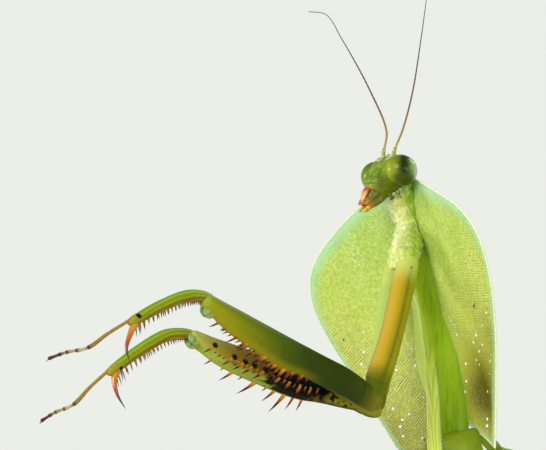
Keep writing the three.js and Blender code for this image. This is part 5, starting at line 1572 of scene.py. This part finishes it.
tegmenRows = [  # along the body, inner edge (negative past the middle), outer edge
    [0.7, 2.0, 3.5], [2, 1.4, 4.9], [5, 0.6, 7.5], [9, -1.2, 9.8], [14, -2.6, 12.2], [21, -3.0, 12.9],
    [29, -3.0, 11.8], [36, -2.4, 8.6], [40.5, -1.0, 5.0], [42, 0.8, 2.6]]
hindwingRows = [[9.2, 0.5, 3.6], [12, 0.4, 6.6], [18, 0.4, 8.2], [27, 0.4, 8.0], [34, 0.4, 5.6],
                [38.5, 0.9, 2.2]]
wingRoof = [  # along, height of the ridge, place and height of the eaves
    [0.7, 2.05, 2.8, 0.7], [2, 2.3, 4.2, -0.2], [5, 2.55, 7.0, -0.6], [9, 2.6, 9.8, -0.3],
    [14, 2.5, 12.2, 0.6], [21, 2.5, 12.9, 0.9], [29, 2.35, 11.8, 1.1], [36, 2.1, 8.6, 1.3],
    [42, 1.9, 2.6, 1.7]]
wing = {  # half width of the ridge, bend of the roof, lift of the upper wing
    "ridge": 1.5, "sag": 1.6, "layer": 0.8, "grid": (300, 130),
    "veins": ((7, 0.0, 1.0), (14, 0.32, 0.75), (28, 0.62, 0.55)),  # how many, from which share, how strong
}


def wingPaint(wire, place):  # clouded leaf green under a net of pale veins, a brown spot and a white margin
    vein, rim, across, along = wire.mark("vein"), wire.mark("rim"), wire.mark("across"), wire.mark("along")
    cloud, fine = place.noise(3.5, 3), place.noise(0.6, 3)
    green = cloud.ramp((0.3, "#86a838"), (0.5, "#97ba46"), (0.72, "#aac956"))
    green = layered(green, (across.step(0.62, 0.8) * 0.5, "#b9cf63"),
                    (along.step(0.22, 0.05) * 0.85, "#5c7c10"))
    net = place.cells(0.9, "DISTANCE_TO_EDGE", 0.85).step(0.09, 0.02)
    grown = along.step(0.05, 0.3) * 0.85 + 0.15
    green = layered(green, (net * 0.4 * grown, "#c8d987"), (vein * 0.75 * grown, "#cfdc8c"),
                    (wire.mark("spot") * 0.85, "#6b4a1c"), (rim.step(0.35, 0.1) * 0.9, "#ecefdb"))
    height = vein * 0.12 + net * 0.04 + fine * 0.02 + rim.step(0.5, 0.1) * 0.05
    return {"Base Color": green, "Roughness": 0.42 + 0.15 * fine, "height": height}


def hindwingPaint(wire, place):  # pale straw with darker veins
    vein, rim = wire.mark("vein"), wire.mark("rim")
    cloud = place.noise(3.0, 3)
    colour = cloud.ramp((0.3, "#d2d7a0"), (0.6, "#e0e4bb"), (0.8, "#d9cf9c"))
    net = place.cells(1.0, "DISTANCE_TO_EDGE", 0.7).step(0.08, 0.02)
    colour = layered(colour, (net * 0.5, "#a9ad6a"), (vein * 0.8, "#8f9a4c"),
                     (rim.step(0.4, 0.1) * 0.8, "#9aa850"))
    return {"Base Color": colour, "Roughness": 0.25 + 0.15 * cloud, "height": vein * 0.1 + net * 0.03}


wingLook = material("leafy forewing", wingPaint, Specular_IOR_Level=0.4, Subsurface_Weight=0.08,
                    Subsurface_Scale=0.0008)
hindwingLook = material("clear hindwing", hindwingPaint, Specular_IOR_Level=0.5, Coat_Weight=0.2,
                        Coat_Roughness=0.12)


def makeWing(name, rows, sign, level, finish, slot, node, thick):
    # A thin leaf between its inner and outer edge, bent over the body like a roof, raised along its veins.
    nu, nv = wing["grid"]
    u = crowded(np.linspace(0, 1, nu), 0.5)[:, None]
    v = np.linspace(0, 1, nv)[None, :]
    u, v = np.broadcast_arrays(u, v)
    along, inner, outer = columns(through(rows, u))
    x = mix(inner, outer, v)
    ridge, eavesPlace, eaves = columns(table(wingRoof, along))
    out = np.clip((x - wing["ridge"]) / (eavesPlace - wing["ridge"]), 0, 1)
    height = ridge - (ridge - eaves) * out ** wing["sag"] + level(x, along)
    points = body(along, sign * x, height)
    normal = gridNormals(points, (nu // 2, nv // 2), 2)
    rim = rimDistance(points)
    # veins fan out from the root towards the margins, with more of them farther out
    fan = mix(v, np.sin(v * 1.2) / math.sin(1.2), 0.5) - 0.16 * (1 - u) ** 2
    wander = 0.12 * grain(points, 9, 41)
    vein = np.zeros(u.shape)
    for count, reach, weight in wing["veins"]:
        wave = np.abs((fan * count + wander + 0.5) % 1 - 0.5) / count * (outer - inner)
        vein = np.maximum(vein, weight * hump(wave, 0, 0.1) * rise(u, reach, reach + 0.12))
    costal = hump(v, 0.84, 0.012) + hump(v, 0.04, 0.01)
    vein = np.clip(vein + costal, 0, 1) * rise(rim, 0.0, 0.5)
    spot = hump(u, 0.47, 0.035) * hump(v, 0.7, 0.035)
    plate = thick * rise(rim, -0.1, 0.5)
    lift = 0.07 * vein + 0.03 * grain(points, 3, 42)
    sculpture = Sculpture(fromBody)
    leaf(sculpture, points, normal, plate + lift * rise(rim, 0, 0.6), plate + 0.04 * vein,
         along=u, across=v, rim=rim, vein=vein, spot=spot)
    sculpture.finish(name, [finish], slot, node)


def straightRise(value, low, high):  # straight from 0 at low to 1 at high
    return np.clip((value - low) / (high - low), 0, 1)


for wingName, wingSign in bothSides:
    over = wing["layer"] if wingSign > 0 else 0.0
    makeWing("tegmen" + wingName, tegmenRows, wingSign,
             lambda x, along: wing["layer"] * straightRise(along, 5, 9)
             + over * straightRise(x, 8, 4) * straightRise(along, 3, 6),
             wingLook, "wing_green", "tegmen_" + wingName.lower(), 0.15)
    makeWing("hindwing" + wingName, hindwingRows, wingSign, lambda x, along: 0 * x, hindwingLook,
             "hindwing_clear", "hindwing_" + wingName.lower(), 0.09)

# Walking legs

walking = {  # hip, end of the coxa, knee, ankle and toe; stagger moves the right foot forward or back
    "mid": {"joints": [(1.8, 2.4, 15.9), (3.5, 0.2, 12.3), (13.6, -5.6, 13.4), (17.2, -8.6, 1.1),
                       (20.2, -13.4, 0.26)], "femur": (0.62, 0.32), "coxa": 0.98, "stagger": -1.6},
    "hind": {"joints": [(2.0, 5.4, 13.0), (4.0, 6.8, 9.2), (14.4, 17.6, 8.4), (21.0, 29.6, 1.1),
                        (23.8, 36.6, 0.26)], "femur": (0.72, 0.32), "coxa": 1.02, "stagger": 1.8},
}


def stalkPaint(wire, place):  # clouded green, ochre at the ankle, sparse dots
    along = wire.mark("along")
    cloud, fine = place.noise(1.6, 3), place.noise(0.25, 3)
    green = cloud.ramp((0.3, "#62720c"), (0.5, "#788a10"), (0.72, "#92a42c"))
    green = (along.step(0.9, 1.0) * 0.55).between(green, "#c0a24a")
    dots = place.cells(0.8).step(0.1, 0.06)
    green = (dots * 0.5).between(green, "#54501a")
    return {"Base Color": green, "Roughness": 0.36 + 0.16 * fine, "height": fine * 0.02}


stalkLook = material("walking leg shell", stalkPaint, **shell)


def makeWalkingLeg(kind, name, sign):
    # Straight tapering rods with soft edges between the joints, and a foot that lies flat on the floor.
    leg = walking[kind]
    bend = [leg["stagger"] * max(i - 1, 0) / 3 if sign < 0 else 0 for i in range(5)]
    hip, coxaEnd, knee, ankle, toe = (vec(x * sign, y + b, z) for b, (x, y, z) in zip(bend, leg["joints"]))
    label = "_" + name.lower()
    sideways = vec(0, 1, 0.3)

    def rod(sculpture, start, end, before, after, size, **more):  # a straight limb, longer at both ends
        way = unit(end - start)
        line = np.array([start - way * before, (start + end) / 2, end + way * after])
        limb(sculpture, line, sideways, size, **more)

    sculpture = Sculpture(fromBody)
    thick = leg["coxa"]
    rod(sculpture, hip, coxaEnd, 0.4, 0.5, lambda t: (mix(thick, thick * 0.68, t),) * 2, rings=90, sides=56,
        blunt=(0.1, 0.16), swell=lambda t, a: 0.05 * np.cos(3 * a) - 0.08 * hump(t, 0.8, 0.03))
    sculpture.marks.update(above=0.0, hip=1.0)
    sculpture.finish(kind + "Coxa" + name, [trunkLook], "body_green", kind + "_coxa" + label)

    sculpture = Sculpture(fromBody)
    root, tip = leg["femur"]
    rod(sculpture, coxaEnd, knee, 0.5, 0.35,
        lambda t: (mix(root, tip, t**0.7) * 0.9 + 0.1 * t**12, mix(root, tip, t**0.7) + 0.12 * t**12),
        rings=150, sides=40, blunt=(0.04, 0.04),
        swell=lambda t, a: 0.035 * np.cos(4 * a + 0.3) * rise(t, 0.1, 0.3) - 0.06 * hump(t, 0.08, 0.012))
    sculpture.marks["along"] = sculpture.marks["along"] * 0.5
    rod(sculpture, knee, ankle, 0.3, 0.25,
        lambda t: (mix(0.33, 0.26, t) * (1 + 0.25 * hump(t, 0.06, 0.05)),) * 2,
        rings=130, sides=36, blunt=(0.03, 0.03),
        swell=lambda t, a: 0.02 * np.cos(4 * a) - 0.05 * hump(t, 0.13, 0.012))
    sculpture.marks["along"] = 0.5 + sculpture.marks["along"] * 0.5
    way, out = unit(ankle - knee), unit(np.cross(ankle - knee, sideways))
    place = knee + (ankle - knee) * np.linspace(0.25, 0.95, 9)[:, None]
    turn = np.array([1, -1] * 4 + [1])[:, None]
    spikes(sculpture, place + out * 0.12 * turn, place + out * 0.55 * turn + way * 0.3, 0.06, 0.1, way,
           1, 6, 6)
    sculpture.finish(kind + "Leg" + name, [stalkLook, spineLook], "leg_green", kind + "_femur" + label,
                     kind + "_tibia" + label)

    level = [mix(ankle, toe, s) * vec(1, 1, 0) + vec(0, 0, toe[2]) for s in (0.2, 0.45, 0.75)]
    line = np.array([ankle + unit(ankle - toe) * 0.1, level[0] + vec(0, 0, 0.2), level[1], level[2], toe])
    makeFoot(kind + "Tarsus" + name, kind + "_tarsus" + label, line, vec(0, 0, -1), 0.27, fromBody, True)


for kindName in walking:
    for legName, legSign in bothSides:
        makeWalkingLeg(kindName, legName, legSign)
